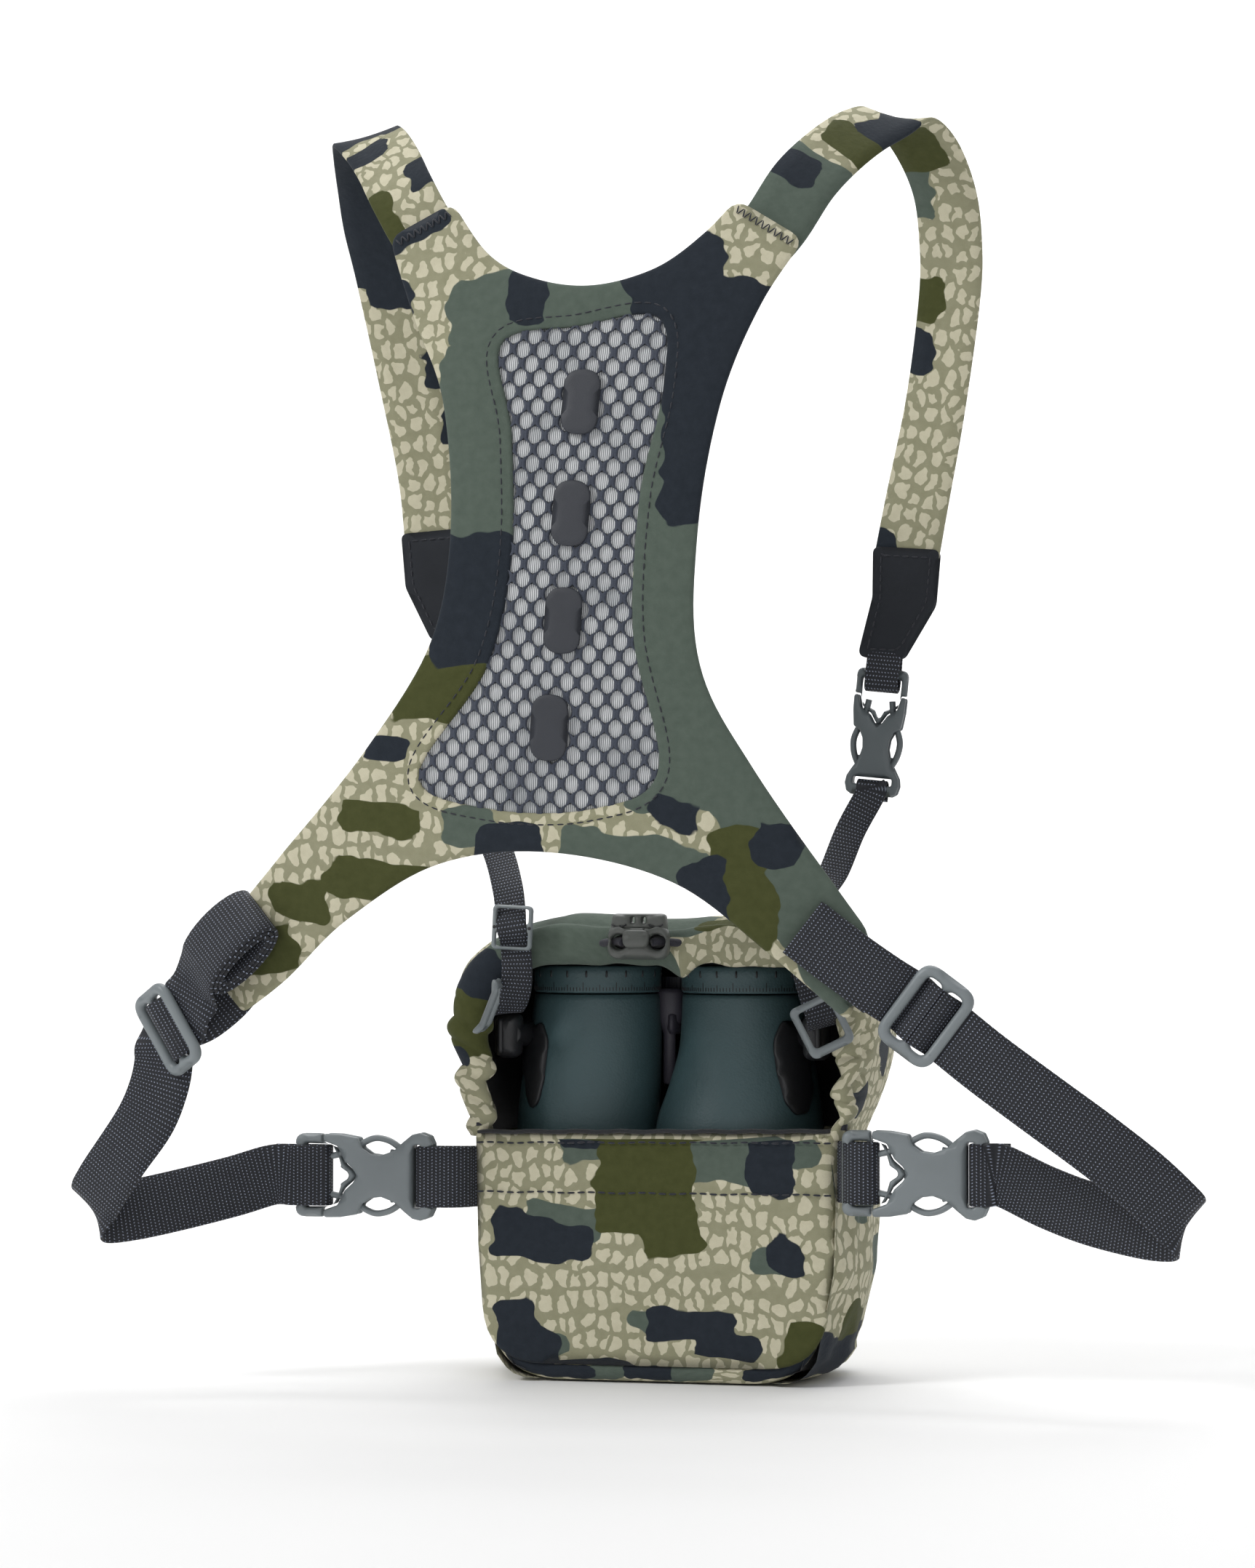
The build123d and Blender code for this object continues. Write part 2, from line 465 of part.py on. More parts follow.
def barrel(stations):
    """A rubber-armoured barrel with the eyepiece tube above it and the objective's recess below."""
    body = loft([Plane.XY.offset(z) * Pos(x, 0) * Circle(r) for z, x, r in stations])
    z0, x0, _ = stations[0]
    z1, x1, _ = stations[-1]
    body += Pos(x1, 0, (z1 + TUBE_TOP) / 2 - 1) * Cylinder(TUBE_R, TUBE_TOP - z1 + 2)
    body -= Pos(x0, 0, z0 + OBJECTIVE_DEPTH / 2 - 1) * Cylinder(OBJECTIVE_R, OBJECTIVE_DEPTH + 2)
    return body - Pos(x1, 0, TUBE_TOP) * Cylinder(17.0, 6.0)


def tube(x, outer, inner, z0, z1):
    ring = Cylinder(outer, z1 - z0) - Cylinder(inner, z1 - z0 + 1)
    return Pos(x, 0, (z0 + z1) / 2) * ring


def make_binocular():
    groups = {"binocular_lugs": None, "ocular_lenses": None, "objective_lenses": None}
    for side, stations, name in ((-1, LEFT_BARREL, "left"), (1, RIGHT_BARREL, "right")):
        body = barrel(stations)
        top_x = stations[-1][1]
        base_x = stations[0][1]
        ring_z = EYE_Z + 0.6
        add(name + "_barrel", body)
        add(name + "_scale_ring", tube(top_x, RING_R, TUBE_R + 0.2, ring_z, ring_z + RING_H - 0.6))
        add(name + "_eyecup", tube(top_x, CUP_R, TUBE_R + 0.2, ring_z + RING_H, ring_z + RING_H + CUP_H))
        ocular = Pos(top_x, 0, TUBE_TOP - 1.5) * Cylinder(16.8, 2.4)
        objective = Pos(base_x, 0, 12.4) * Cylinder(OBJECTIVE_R - 0.2, 3.0)
        shell = Pos(side * 33, 0, 132.5) * Cylinder(35.0, 33)
        wedge = shell & block(min(side * 50, side * 80), max(side * 50, side * 80), -24, -2, 116, 149)
        stud = Pos(side * 67, -21, 144) * Box(7, 8, 9)
        lug = wedge + stud - body - Pos(side * 33, 0, 132) * Cylinder(28.9, 40)
        for group, piece in zip(groups, (lug, ocular, objective)):
            groups[group] = piece if groups[group] is None else groups[group] + piece
    nodes.update(groups)

    add("binocular_bridge", block(-4.8, 2.2, -5, 26, 142, 149.5) + Pos(-2.5, 1, 137) * Cylinder(1.9, 18))
    wheel = Cylinder(8.4, 15)
    for turn in range(24):
        wheel -= Rot(0, 0, 15 * turn) * Pos(8.6, 0, 0) * Cylinder(0.5, 16)
    add("focus_wheel", Pos(-0.7, 17, 157.3) * wheel)


make_pouch()
make_chest_band()
make_hood()
make_cord_lock()
make_yoke()
make_straps()
make_tab("right_strap_tab", 99.8, 343, 89.6, 297)
make_tab("left_strap_tab", -102.5, 354, -94.2, 307.5)
make_buckles()
make_webbing_loops()
make_side_hardware()
make_binocular()

for name, shape in nodes.items():
    export_step(shape if isinstance(shape, Compound) else Compound([shape]), f"{OUT}/{name}.step")
print(len(nodes), "nodes")
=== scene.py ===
"""Binocular harness pack: the visual model, in metres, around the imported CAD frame.

Shapes are written in millimetres and turned into metres by MM when a mesh is made.
"""
import json
import math
import random

import bmesh
import bpy
import numpy as np
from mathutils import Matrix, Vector, noise
from mathutils.geometry import delaunay_2d_cdt

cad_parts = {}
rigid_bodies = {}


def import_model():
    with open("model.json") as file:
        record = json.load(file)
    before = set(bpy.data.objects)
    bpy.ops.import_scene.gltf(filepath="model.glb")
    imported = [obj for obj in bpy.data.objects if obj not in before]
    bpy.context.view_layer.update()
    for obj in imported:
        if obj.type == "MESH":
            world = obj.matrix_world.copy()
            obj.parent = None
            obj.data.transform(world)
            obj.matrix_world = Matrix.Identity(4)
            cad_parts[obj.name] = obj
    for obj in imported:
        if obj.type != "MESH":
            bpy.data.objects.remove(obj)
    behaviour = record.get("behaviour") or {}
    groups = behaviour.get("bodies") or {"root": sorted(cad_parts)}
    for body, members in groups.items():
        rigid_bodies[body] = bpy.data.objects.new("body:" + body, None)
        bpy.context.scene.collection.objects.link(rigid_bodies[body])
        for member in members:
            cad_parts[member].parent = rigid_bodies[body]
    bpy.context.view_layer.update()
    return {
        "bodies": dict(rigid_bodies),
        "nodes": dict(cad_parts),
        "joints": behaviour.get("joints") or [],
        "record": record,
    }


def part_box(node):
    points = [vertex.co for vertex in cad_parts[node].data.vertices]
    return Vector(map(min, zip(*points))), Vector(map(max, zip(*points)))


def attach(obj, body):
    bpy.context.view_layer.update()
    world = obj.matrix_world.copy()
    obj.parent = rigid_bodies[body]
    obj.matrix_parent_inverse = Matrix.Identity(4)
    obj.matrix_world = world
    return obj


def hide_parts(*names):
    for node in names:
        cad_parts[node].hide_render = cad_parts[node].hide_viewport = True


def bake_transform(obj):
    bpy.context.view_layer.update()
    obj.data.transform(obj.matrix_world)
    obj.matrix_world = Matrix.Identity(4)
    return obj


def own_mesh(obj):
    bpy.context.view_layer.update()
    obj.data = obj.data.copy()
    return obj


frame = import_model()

MM = 0.001
UV = 0.01                  # one texture unit is 100 mm


# ---- node materials -----------------------------------------------------------------
class Nodes:
    """Short calls for building one material's node tree."""

    def __init__(self, name):
        self.mat = bpy.data.materials.new(name)
        self.mat.use_nodes = True
        self.tree = self.mat.node_tree
        self.bsdf = self.tree.nodes["Principled BSDF"]

    def new(self, kind, **values):
        node = self.tree.nodes.new(kind)
        for key, value in values.items():
            if key in node.inputs.keys():
                node.inputs[key].default_value = value
            else:
                setattr(node, key, value)
        return node

    def link(self, a, b):
        self.tree.links.new(a, b)
        return b

    def math(self, op, a, b=None):
        node = self.new("ShaderNodeMath", operation=op)
        for i, value in enumerate((a, b)):
            if value is None:
                continue
            if isinstance(value, (int, float)):
                node.inputs[i].default_value = value
            else:
                self.link(value, node.inputs[i])
        return node.outputs[0]

    def mix(self, factor, a, b):
        node = self.new("ShaderNodeMix", data_type="RGBA")
        for value, socket in ((factor, node.inputs[0]), (a, node.inputs[6]), (b, node.inputs[7])):
            if isinstance(value, (int, float)):
                socket.default_value = value
            elif isinstance(value, tuple):
                socket.default_value = (*value, 1.0)
            else:
                self.link(value, socket)
        return node.outputs[2]

    def step(self, value, low, high):
        node = self.new("ShaderNodeMapRange", interpolation_type="SMOOTHSTEP")
        self.link(value, node.inputs[0])
        node.inputs[1].default_value = low
        node.inputs[2].default_value = high
        return node.outputs[0]

    def uv(self, sx=1.0, sy=1.0, source="UV"):
        coord = self.new("ShaderNodeTexCoord")
        mapping = self.new("ShaderNodeMapping", Scale=(sx, sy, 1))
        self.link(coord.outputs[source], mapping.inputs[0])
        return mapping.outputs[0]

    def place(self):
        return self.uv(source="Object")

    def noise(self, vector, scale, detail=2.0, rough=0.5):
        node = self.new("ShaderNodeTexNoise", Scale=scale, Detail=detail, Roughness=rough)
        self.link(vector, node.inputs["Vector"])
        return node

    def fac(self, vector, scale, detail=2.0, rough=0.5):
        """A noise's value, 0 to 1."""
        return self.noise(vector, scale, detail, rough).outputs["Fac"]

    def wave(self, phase):
        """A sine made 0 to 1."""
        return self.math("ADD", self.math("MULTIPLY", self.math("SINE", phase), 0.5), 0.5)

    def swing(self, value, size):
        """A 0 to 1 value made to swing about zero."""
        return self.math("MULTIPLY", self.math("SUBTRACT", value, 0.5), size)

    def set(self, socket, value):
        self.bsdf.inputs[socket].default_value = value

    def bump(self, height, strength, distance):
        node = self.new("ShaderNodeBump", Strength=strength, Distance=distance)
        self.link(height, node.inputs["Height"])
        self.link(node.outputs[0], self.bsdf.inputs["Normal"])

    def colour(self, value):
        self.link(value, self.bsdf.inputs["Base Color"])

    def rough(self, value):
        if isinstance(value, float):
            self.set("Roughness", value)
        else:
            self.link(value, self.bsdf.inputs["Roughness"])


def srgb(r, g, b):
    """A colour given as 0 to 255 display values, made linear."""
    return tuple(((c / 255 + 0.055) / 1.055) ** 2.4 for c in (r, g, b))


TAN_CELL = srgb(182, 177, 152), srgb(204, 199, 176)
KHAKI_GROUND = srgb(133, 132, 106), srgb(153, 151, 126)
CAMO_LAYERS = {"grey": (srgb(74, 85, 77), srgb(91, 102, 93)),
               "olive": (srgb(60, 64, 32), srgb(76, 79, 45)),
               "dark": (srgb(30, 36, 43), srgb(42, 48, 56))}
CELL_SCALE = (16.5, 11.8, 1)
CELL_RANDOM = 0.62
# the webbing's navy darkened as painted shade for the weave's grooves, and a pale colour as painted highlight
# for its crests
WEB_NAVY_GROOVE_SHADE, WEB_CREST_HIGHLIGHT = srgb(18, 21, 29), srgb(158, 168, 190)
RIB_PITCH, PICK_PITCH = 0.0165, 0.013      # texture units


def camo_material():
    """Brushed fabric: tan cells on khaki, with dark, grey-green and olive patches from mesh attributes."""
    n = Nodes("camo_fabric")
    uv = n.uv()
    warp = n.noise(uv, 14.0, 2.0)
    shifted = n.new("ShaderNodeVectorMath", operation="MULTIPLY_ADD")
    n.link(warp.outputs["Color"], shifted.inputs[0])
    shifted.inputs[1].default_value = (0.07, 0.07, 0)
    n.link(uv, shifted.inputs[2])
    stretch = n.new("ShaderNodeMapping", Scale=CELL_SCALE)
    n.link(shifted.outputs[0], stretch.inputs[0])
    edge, centre = (n.new("ShaderNodeTexVoronoi", feature=feature, voronoi_dimensions="2D", Scale=1.0,
                          Randomness=CELL_RANDOM) for feature in ("DISTANCE_TO_EDGE", "F1"))
    for voronoi in (edge, centre):
        n.link(stretch.outputs[0], voronoi.inputs["Vector"])
    ragged = n.swing(n.fac(uv, 30.0, 1.0), 0.22)
    round_edge = n.math("SUBTRACT", 0.46, centre.outputs["Distance"])
    body = n.math("MINIMUM", n.math("SUBTRACT", edge.outputs["Distance"], 0.135), round_edge)
    cell = n.step(n.math("ADD", body, ragged), -0.012, 0.028)
    mottle = n.fac(uv, 26.0, 3.0)
    colour = n.mix(cell, n.mix(mottle, *KHAKI_GROUND), n.mix(mottle, *TAN_CELL))
    wobble = n.math("ADD", n.swing(n.fac(n.uv(0.8, 1.3), 17.0, 0.0), 3.0),
                    n.swing(n.fac(n.uv(0.7, 1.4), 7.0, 0.0), 8.0))
    for layer, shades in CAMO_LAYERS.items():
        attribute = n.new("ShaderNodeAttribute", attribute_name="camo_" + layer)
        mask = n.step(n.math("ADD", attribute.outputs["Fac"], wobble), -0.25, 0.25)
        colour = n.mix(mask, colour, n.mix(mottle, *shades))
    fibre = n.fac(uv, 420.0, 2.0, 0.7)
    shade = n.new("ShaderNodeMix", data_type="RGBA", blend_type="MULTIPLY")
    shade.inputs[0].default_value = 1.0
    n.link(colour, shade.inputs[6])
    n.link(n.math("ADD", n.math("MULTIPLY", fibre, 0.5), 0.75), shade.inputs[7])
    n.colour(shade.outputs[2])
    n.rough(0.9)
    n.set("Sheen Weight", 0.08)
    n.set("Sheen Roughness", 0.5)
    n.set("Specular IOR Level", 0.15)
    n.bump(n.math("ADD", fibre, n.math("MULTIPLY", n.fac(uv, 60.0, 3.0), 2.0)), 0.5, 0.00025)
    return n.mat


def webbing_material():
    """Nylon webbing: ribs across the strap, each rib broken into small raised picks, with painted highlight
    on their crests and painted shade between them.
    """
    n = Nodes("webbing")
    uv = n.uv()
    split = n.new("ShaderNodeSeparateXYZ")
    n.link(uv, split.inputs[0])
    rows = n.math("MULTIPLY", split.outputs[1], 2 * math.pi / RIB_PITCH)
    half = n.math("MULTIPLY", n.math("SINE", n.math("MULTIPLY", rows, 0.5)), 1.6)
    pick = n.wave(n.math("ADD", n.math("MULTIPLY", split.outputs[0], 2 * math.pi / PICK_PITCH), half))
    weave = n.math("MULTIPLY", n.wave(rows), n.math("ADD", n.math("MULTIPLY", pick, 0.75), 0.25))
    # painted highlight on the raised picks' crests; the rest of the weave stays dark as painted shade
    crest_highlight = n.math("MULTIPLY", n.math("POWER", weave, 3.0), n.fac(uv, 160.0, 3.0, 0.7))
    n.colour(n.mix(n.step(crest_highlight, 0.1, 0.58), WEB_NAVY_GROOVE_SHADE, WEB_CREST_HIGHLIGHT))
    n.rough(n.math("SUBTRACT", 0.74, n.math("MULTIPLY", weave, 0.22)))
    n.set("Sheen Weight", 0.05)
    n.bump(weave, 0.9, 0.0004)
    return n.mat


def plastic_material(name, colour, rough=0.42, grain=0.25):
    """Moulded plastic with a fine grain in its gloss and its surface."""
    n = Nodes(name)
    place = n.place()
    fine = n.fac(place, 2600.0, 3.0, 0.6)
    low = tuple(c * 0.88 for c in colour)
    high = tuple(c * 1.12 for c in colour)
    n.colour(n.mix(n.fac(place, 60.0, 3.0), low, high))
    n.rough(n.math("ADD", n.math("MULTIPLY", fine, 0.16), rough - 0.08))
    n.bump(fine, grain, 0.0002)
    return n.mat


def armour_material():
    """Rubber armour with a fine pebbled grain."""
    n = Nodes("armour_rubber")
    place = n.place()
    pebble = n.new("ShaderNodeTexVoronoi", feature="F1", Scale=950.0)
    n.link(place, pebble.inputs["Vector"])
    height = n.math("ADD", n.math("MULTIPLY", pebble.outputs["Distance"], -0.5),
                    n.fac(place, 420.0, 4.0, 0.65))
    n.colour(n.mix(n.fac(place, 40.0), srgb(50, 71, 75), srgb(60, 83, 87)))
    n.rough(0.5)
    n.bump(height, 0.55, 0.0003)
    return n.mat


def ribbed_material():
    """Pale ribbed knit behind the mesh, with painted shade in its grooves and in large darker blotches."""
    n = Nodes("ribbed_backing")
    uv = n.uv()
    split = n.new("ShaderNodeSeparateXYZ")
    n.link(uv, split.inputs[0])
    rib = n.wave(n.math("ADD", n.math("MULTIPLY", split.outputs[0], 2 * math.pi / 0.0080),
                        n.math("MULTIPLY", n.fac(uv, 20.0), 3.0)))
    # painted shade: the grooves between the ribs are coloured darker than the crests
    crest = n.step(rib, 0.15, 0.7)
    shaded = n.mix(crest, srgb(104, 110, 116), srgb(184, 188, 191))
    pale = n.mix(crest, srgb(138, 142, 146), srgb(236, 238, 239))
    # painted shade: large blotches blend in the darker copy of the knit
    n.colour(n.mix(n.step(n.fac(uv, 3.0), 0.24, 0.52), shaded, pale))
    n.rough(0.85)
    n.bump(rib, 0.8, 0.0004)
    return n.mat


def woven_dark_material(name, colour):
    """Plain dark cloth, for linings, bindings and mesh threads."""
    n = Nodes(name)
    weave = n.fac(n.place(), 1800.0, 2.0, 0.7)
    low = tuple(c * 0.75 for c in colour)
    high = tuple(c * 1.35 for c in colour)
    n.colour(n.mix(weave, low, high))
    n.rough(0.8)
    n.set("Sheen Weight", 0.2)
    n.bump(weave, 0.6, 0.0003)
    return n.mat


def laminate_material():
    """The smooth dark sheet of the strap tabs."""
    n = Nodes("tab_laminate")
    place = n.place()
    n.colour(n.mix(n.fac(place, 50.0), srgb(27, 30, 35), srgb(37, 40, 46)))
    n.set("Specular IOR Level", 0.25)
    n.rough(0.68)
    n.bump(n.fac(place, 1500.0, 3.0, 0.6), 0.35, 0.0002)
    return n.mat


def glass_material():
    """Coated lens: a dark face with a faint violet and green cast."""
    n = Nodes("lens_glass")
    n.colour(n.mix(n.fac(n.place(), 30.0), (0.05, 0.09, 0.10), (0.09, 0.07, 0.12)))
    n.rough(0.05)
    n.set("Coat Weight", 0.6)
    n.set("Specular IOR Level", 0.8)
    return n.mat


def steel_material():
    """Bright spring wire."""
    n = Nodes("spring_steel")
    n.colour(n.mix(n.fac(n.place(), 500.0), (0.45, 0.45, 0.45), (0.62, 0.62, 0.62)))
    n.set("Metallic", 1.0)
    n.rough(0.3)
    return n.mat


def floor_material():
    """The plain pale floor."""
    n = Nodes("floor_white")
    n.colour(n.mix(n.fac(n.place(), 3.0), (0.81, 0.81, 0.81), (0.83, 0.83, 0.83)))
    n.rough(0.7)
    return n.mat


CAMO = camo_material()
WEBBING = webbing_material()
BUCKLE = plastic_material("buckle_plastic", srgb(117, 124, 127), 0.4, 0.3)
TOP_BUCKLE_PLASTIC = plastic_material("top_buckle_plastic", srgb(82, 89, 92), 0.42, 0.3)
LOCK = plastic_material("lock_plastic", srgb(84, 87, 84), 0.42, 0.25)
ARMOUR = armour_material()
BLACK = plastic_material("black_plastic", srgb(30, 31, 34), 0.42, 0.4)
RUBBER = plastic_material("rubber_pad", srgb(44, 47, 54), 0.55, 0.4)
LAMINATE = laminate_material()
RIBBED = ribbed_material()
MESH_THREAD = woven_dark_material("mesh_fabric", srgb(54, 60, 73))
LINING = woven_dark_material("lining_cloth", srgb(26, 28, 32))
THREAD = woven_dark_material("stitch_thread", srgb(28, 31, 40))
CORD = woven_dark_material("elastic_cord", srgb(30, 30, 40))
GLASS = glass_material()
STEEL = steel_material()
PURPLE_GREY = plastic_material("bridge_plastic", srgb(62, 60, 70), 0.5, 0.4)


# ---- mesh helpers -------------------------------------------------------------------
def to_object(name, verts, faces, uvs=None, material=None, smooth=True):
    """A mesh object from points in millimetres; uvs are one pair per vertex, in millimetres."""
    mesh = bpy.data.meshes.new(name)
    mesh.from_pydata([tuple(c * MM for c in v) for v in verts], [], faces)
    if uvs is not None:
        layer = mesh.uv_layers.new(name="UVMap")
        flat = [uvs[loop.vertex_index] for loop in mesh.loops]
        layer.data.foreach_set("uv", [c * UV for pair in flat for c in pair])
    if smooth:
        mesh.polygons.foreach_set("use_smooth", [True] * len(mesh.polygons))
    mesh.update()
    obj = bpy.data.objects.new(name, mesh)
    bpy.context.scene.collection.objects.link(obj)
    if material:
        mesh.materials.append(material)
    return obj


def clamp(value, low=0.0, high=1.0):
    return min(max(value, low), high)


def ease(t):
    """A smooth step of t from 0 to 1."""
    t = clamp(t)
    return t * t * (3 - 2 * t)


def between(rows, z):
    """The other two values of (z, a, b) rows at a height."""
    for (z0, a0, b0), (z1, a1, b1) in zip(rows, rows[1:]):
        if z <= z1:
            t = (z - z0) / (z1 - z0)
            return a0 + (a1 - a0) * t, b0 + (b1 - b0) * t
    return rows[-1][1:]


def from_corner(points, corner):
    """A closed outline's points, starting with the one nearest a corner."""
    start = min(range(len(points)), key=lambda i: (points[i] - Vector(corner)).length)
    return points[start:] + points[:start]


def grid_faces(rows, cols, skip=None):
    """Quads between rows of cols + 1 points, with none after the row skip."""
    width = cols + 1
    corners = [r * width + i for r in range(rows - 1) if r != skip for i in range(cols)]
    return [(a, a + 1, a + 1 + width, a + width) for a in corners]


def tube_faces(rings, sides, first=0, closed=False, caps=True):
    """Quads joining rings of points into a tube, which is capped, open or joined end to start."""
    faces = []
    for i in range(rings if closed else rings - 1):
        a, b = first + i * sides, first + (i + 1) % rings * sides
        faces += [(a + k, a + (k + 1) % sides, b + (k + 1) % sides, b + k) for k in range(sides)]
    if caps and not closed:
        faces.append(tuple(first + k for k in reversed(range(sides))))
        faces.append(tuple(first + (rings - 1) * sides + k for k in range(sides)))
    return faces


def fix_normals(obj):
    bm = bmesh.new()
    bm.from_mesh(obj.data)
    bmesh.ops.recalc_face_normals(bm, faces=bm.faces)
    bm.to_mesh(obj.data)
    bm.free()
    return obj


def apply_modifier(obj, kind, **settings):
    modifier = obj.modifiers.new(kind.lower(), kind)
    for key, value in settings.items():
        setattr(modifier, key, value)
    bpy.context.view_layer.objects.active = obj
    obj.select_set(True)
    bpy.ops.object.modifier_apply(modifier=modifier.name)
    obj.select_set(False)
    return obj


def join(objects, name):
    """One object from several, each keeping its own materials."""
    bpy.ops.object.select_all(action="DESELECT")
    for obj in objects:
        obj.select_set(True)
    bpy.context.view_layer.objects.active = objects[0]
    bpy.ops.object.join()
    objects[0].name = name
    objects[0].select_set(False)
    return objects[0]


def spline(points, steps=8, closed=False):
    """A smooth curve through points, as a list of Vectors (Catmull-Rom)."""
    pts = [Vector(p) for p in points]
    count = len(pts)
    out = []
    last = count if closed else count - 1
    for i in range(last):
        if closed:
            p0, p1, p2, p3 = (pts[(i + k) % count] for k in (-1, 0, 1, 2))
        else:
            p1, p2 = pts[i], pts[i + 1]
            p0 = pts[i - 1] if i else p1 * 2 - p2
            p3 = pts[i + 2] if i + 2 < count else p2 * 2 - p1
        for s in range(steps):
            t = s / steps
            out.append(0.5 * ((2 * p1) + (p2 - p0) * t + (2 * p0 - 5 * p1 + 4 * p2 - p3) * t * t
                              + (3 * p1 - p0 - 3 * p2 + p3) * t ** 3))
    if not closed:
        out.append(pts[-1])
    return out


def resample(points, pitch, closed=False):
    """Evenly spaced points along a polyline."""
    pts = list(points) + ([points[0]] if closed else [])
    lengths = [0.0]
    for a, b in zip(pts, pts[1:]):
        lengths.append(lengths[-1] + (b - a).length)
    count = max(2, round(lengths[-1] / pitch))
    out, k = [], 0
    for i in range(count if closed else count + 1):
        target = lengths[-1] * i / count
        while k < len(pts) - 2 and lengths[k + 1] < target:
            k += 1
        span = lengths[k + 1] - lengths[k] or 1e-9
        out.append(pts[k].lerp(pts[k + 1], (target - lengths[k]) / span))
    return out


def rounded(points, radius, steps=5):
    """A closed 2D outline with its corners rounded; radius is one number or one per corner."""
    count = len(points)
    radii = radius if isinstance(radius, (list, tuple)) else [radius] * count
    out = []
    for i in range(count):
        p = Vector(points[i])
        a = Vector(points[i - 1]) - p
        b = Vector(points[(i + 1) % count]) - p
        angle = a.angle(b)
        cut = min(radii[i] / max(math.tan(angle / 2), 1e-6), a.length * 0.49, b.length * 0.49)
        if radii[i] <= 0 or cut < 1e-6:
            out.append(p)
            continue
        start, end = p + a.normalized() * cut, p + b.normalized() * cut
        for s in range(steps + 1):
            t = s / steps
            out.append((1 - t) ** 2 * start + 2 * t * (1 - t) * p + t * t * end)
    return out


def inside(points, loop):
    """Even-odd test of many 2D points against one closed loop."""
    x, y = points[:, 0], points[:, 1]
    hit = np.zeros(len(points), bool)
    a = np.array([[p[0], p[1]] for p in loop])
    b = np.roll(a, -1, axis=0)
    for (x1, y1), (x2, y2) in zip(a, b):
        if y1 == y2:
            continue
        crosses = (y1 > y) != (y2 > y)
        hit ^= crosses & (x < (x2 - x1) * (y - y1) / (y2 - y1) + x1)
    return hit


def edge_distance(points, loops):
    """Distance from each 2D point to the nearest boundary segment."""
    best = np.full(len(points), 1e9)
    for loop in loops:
        a = np.array([[p[0], p[1]] for p in loop])
        d = np.roll(a, -1, axis=0) - a
        for start, step in zip(a, d):
            length = (step ** 2).sum() or 1e-12
            t = np.clip(((points - start) @ step) / length, 0, 1)
            gap = points - start - t[:, None] * step
            best = np.minimum(best, np.hypot(gap[:, 0], gap[:, 1]))
    return best


def inset_points(loops, edge):
    """Points just inside the loops as (u, v, room), for the plate's rounded edge."""
    extra = []
    for k, loop in enumerate(loops):
        count = len(loop)
        area = sum(loop[i - 1].x * loop[i].y - loop[i].x * loop[i - 1].y for i in range(count))
        sign = (1 if area > 0 else -1) * (1 if k == 0 else -1)
        for offset in (0.12 * edge, 0.4 * edge, edge):
            for i in range(count):
                along = loop[(i + 1) % count] - loop[i - 1]
                if along.length < 1e-9:
                    continue
                normal = Vector((-along.y, along.x)).normalized() * sign
                extra.append((loop[i].x + normal.x * offset, loop[i].y + normal.y * offset, offset))
    return extra


def filling_points(outer, edge, spacing):
    """A staggered grid of (u, v, room) over an outline."""
    lo = [min(p[i] for p in outer) for i in (0, 1)]
    hi = [max(p[i] for p in outer) for i in (0, 1)]
    extra = []
    row = 0
    y = lo[1]
    while y < hi[1]:
        x = lo[0] + (spacing / 2 if row % 2 else 0)
        while x < hi[0]:
            extra.append((x, y, 1.4 * edge + 0.3 * spacing))
            x += spacing
        y += spacing * 0.87
        row += 1
    return extra


def within(points, loops):
    """Which 2D points lie in the first loop and in none of the others."""
    keep = inside(points, loops[0])
    for hole in loops[1:]:
        keep &= ~inside(points, hole)
    return keep


def plate_cells(loops, edge, spacing):
    """A plate's flat points, and the triangles between them that are outside its holes."""
    verts, edges = [], []
    for loop in loops:
        first = len(verts)
        verts += loop
        edges += [(first + i, first + (i + 1) % len(loop)) for i in range(len(loop))]
    free = np.array(inset_points(loops, edge) + filling_points(loops[0], edge, spacing))
    free = free[within(free[:, :2], loops)]
    near = edge_distance(free[:, :2], loops)
    free = free[near > free[:, 2] * 0.93]
    points = verts + [Vector((p[0], p[1])) for p in free]
    co, _, tris, *_ = delaunay_2d_cdt(points, edges, [], 0, 1e-5)
    flat = np.array([[p.x, p.y] for p in co])
    middle = np.array([flat[list(t)].mean(axis=0) for t in tris])
    return flat, [t for t, ok in zip(tris, within(middle, loops)) if ok]


def plate(name, outer, holes, place, thick, edge, material, spacing=4.0, crown=0.0, crown_reach=8.0,
          relief=None):
    """A plate with rounded edges from a 2D outline with holes. place(u, v, w) gives the 3D point;
    w is the height above the middle surface. crown swells the front between its edges."""
    loops = [[Vector((p[0], p[1])) for p in loop] for loop in [outer] + list(holes)]
    flat, tris = plate_cells(loops, edge, spacing)
    dist = edge_distance(flat, loops)
    dist[dist < 0.02 * edge] = 0.0
    lip = np.sqrt(np.clip(1 - (1 - np.clip(dist / edge, 0, 1)) ** 2, 0, 1)) * thick / 2
    front = lip + crown * (1 - np.exp(-np.clip(dist - edge * 0.5, 0, None) / crown_reach))
    back = -lip
    if relief:
        front = front + np.array([relief(u, v, d) for (u, v), d in zip(flat, dist)]) * (dist > 0)
    out, uvs, back_index = [], [], {}
    for (u, v), w in zip(flat, front):
        out.append(place(u, v, w))
        uvs.append((u, v))
    for i, ((u, v), w) in enumerate(zip(flat, back)):
        if dist[i] == 0.0:
            back_index[i] = i
        else:
            back_index[i] = len(out)
            out.append(place(u, v, w))
            uvs.append((u, v))
    faces = []
    for t in tris:
        faces.append(tuple(t))
        faces.append(tuple(back_index[i] for i in reversed(t)))
    used = sorted({i for f in faces for i in f})
    renumber = {old: new for new, old in enumerate(used)}
    obj = to_object(name, [out[i] for i in used], [tuple(renumber[i] for i in f) for f in faces],
                    [uvs[i] for i in used], material)
    return fix_normals(obj)


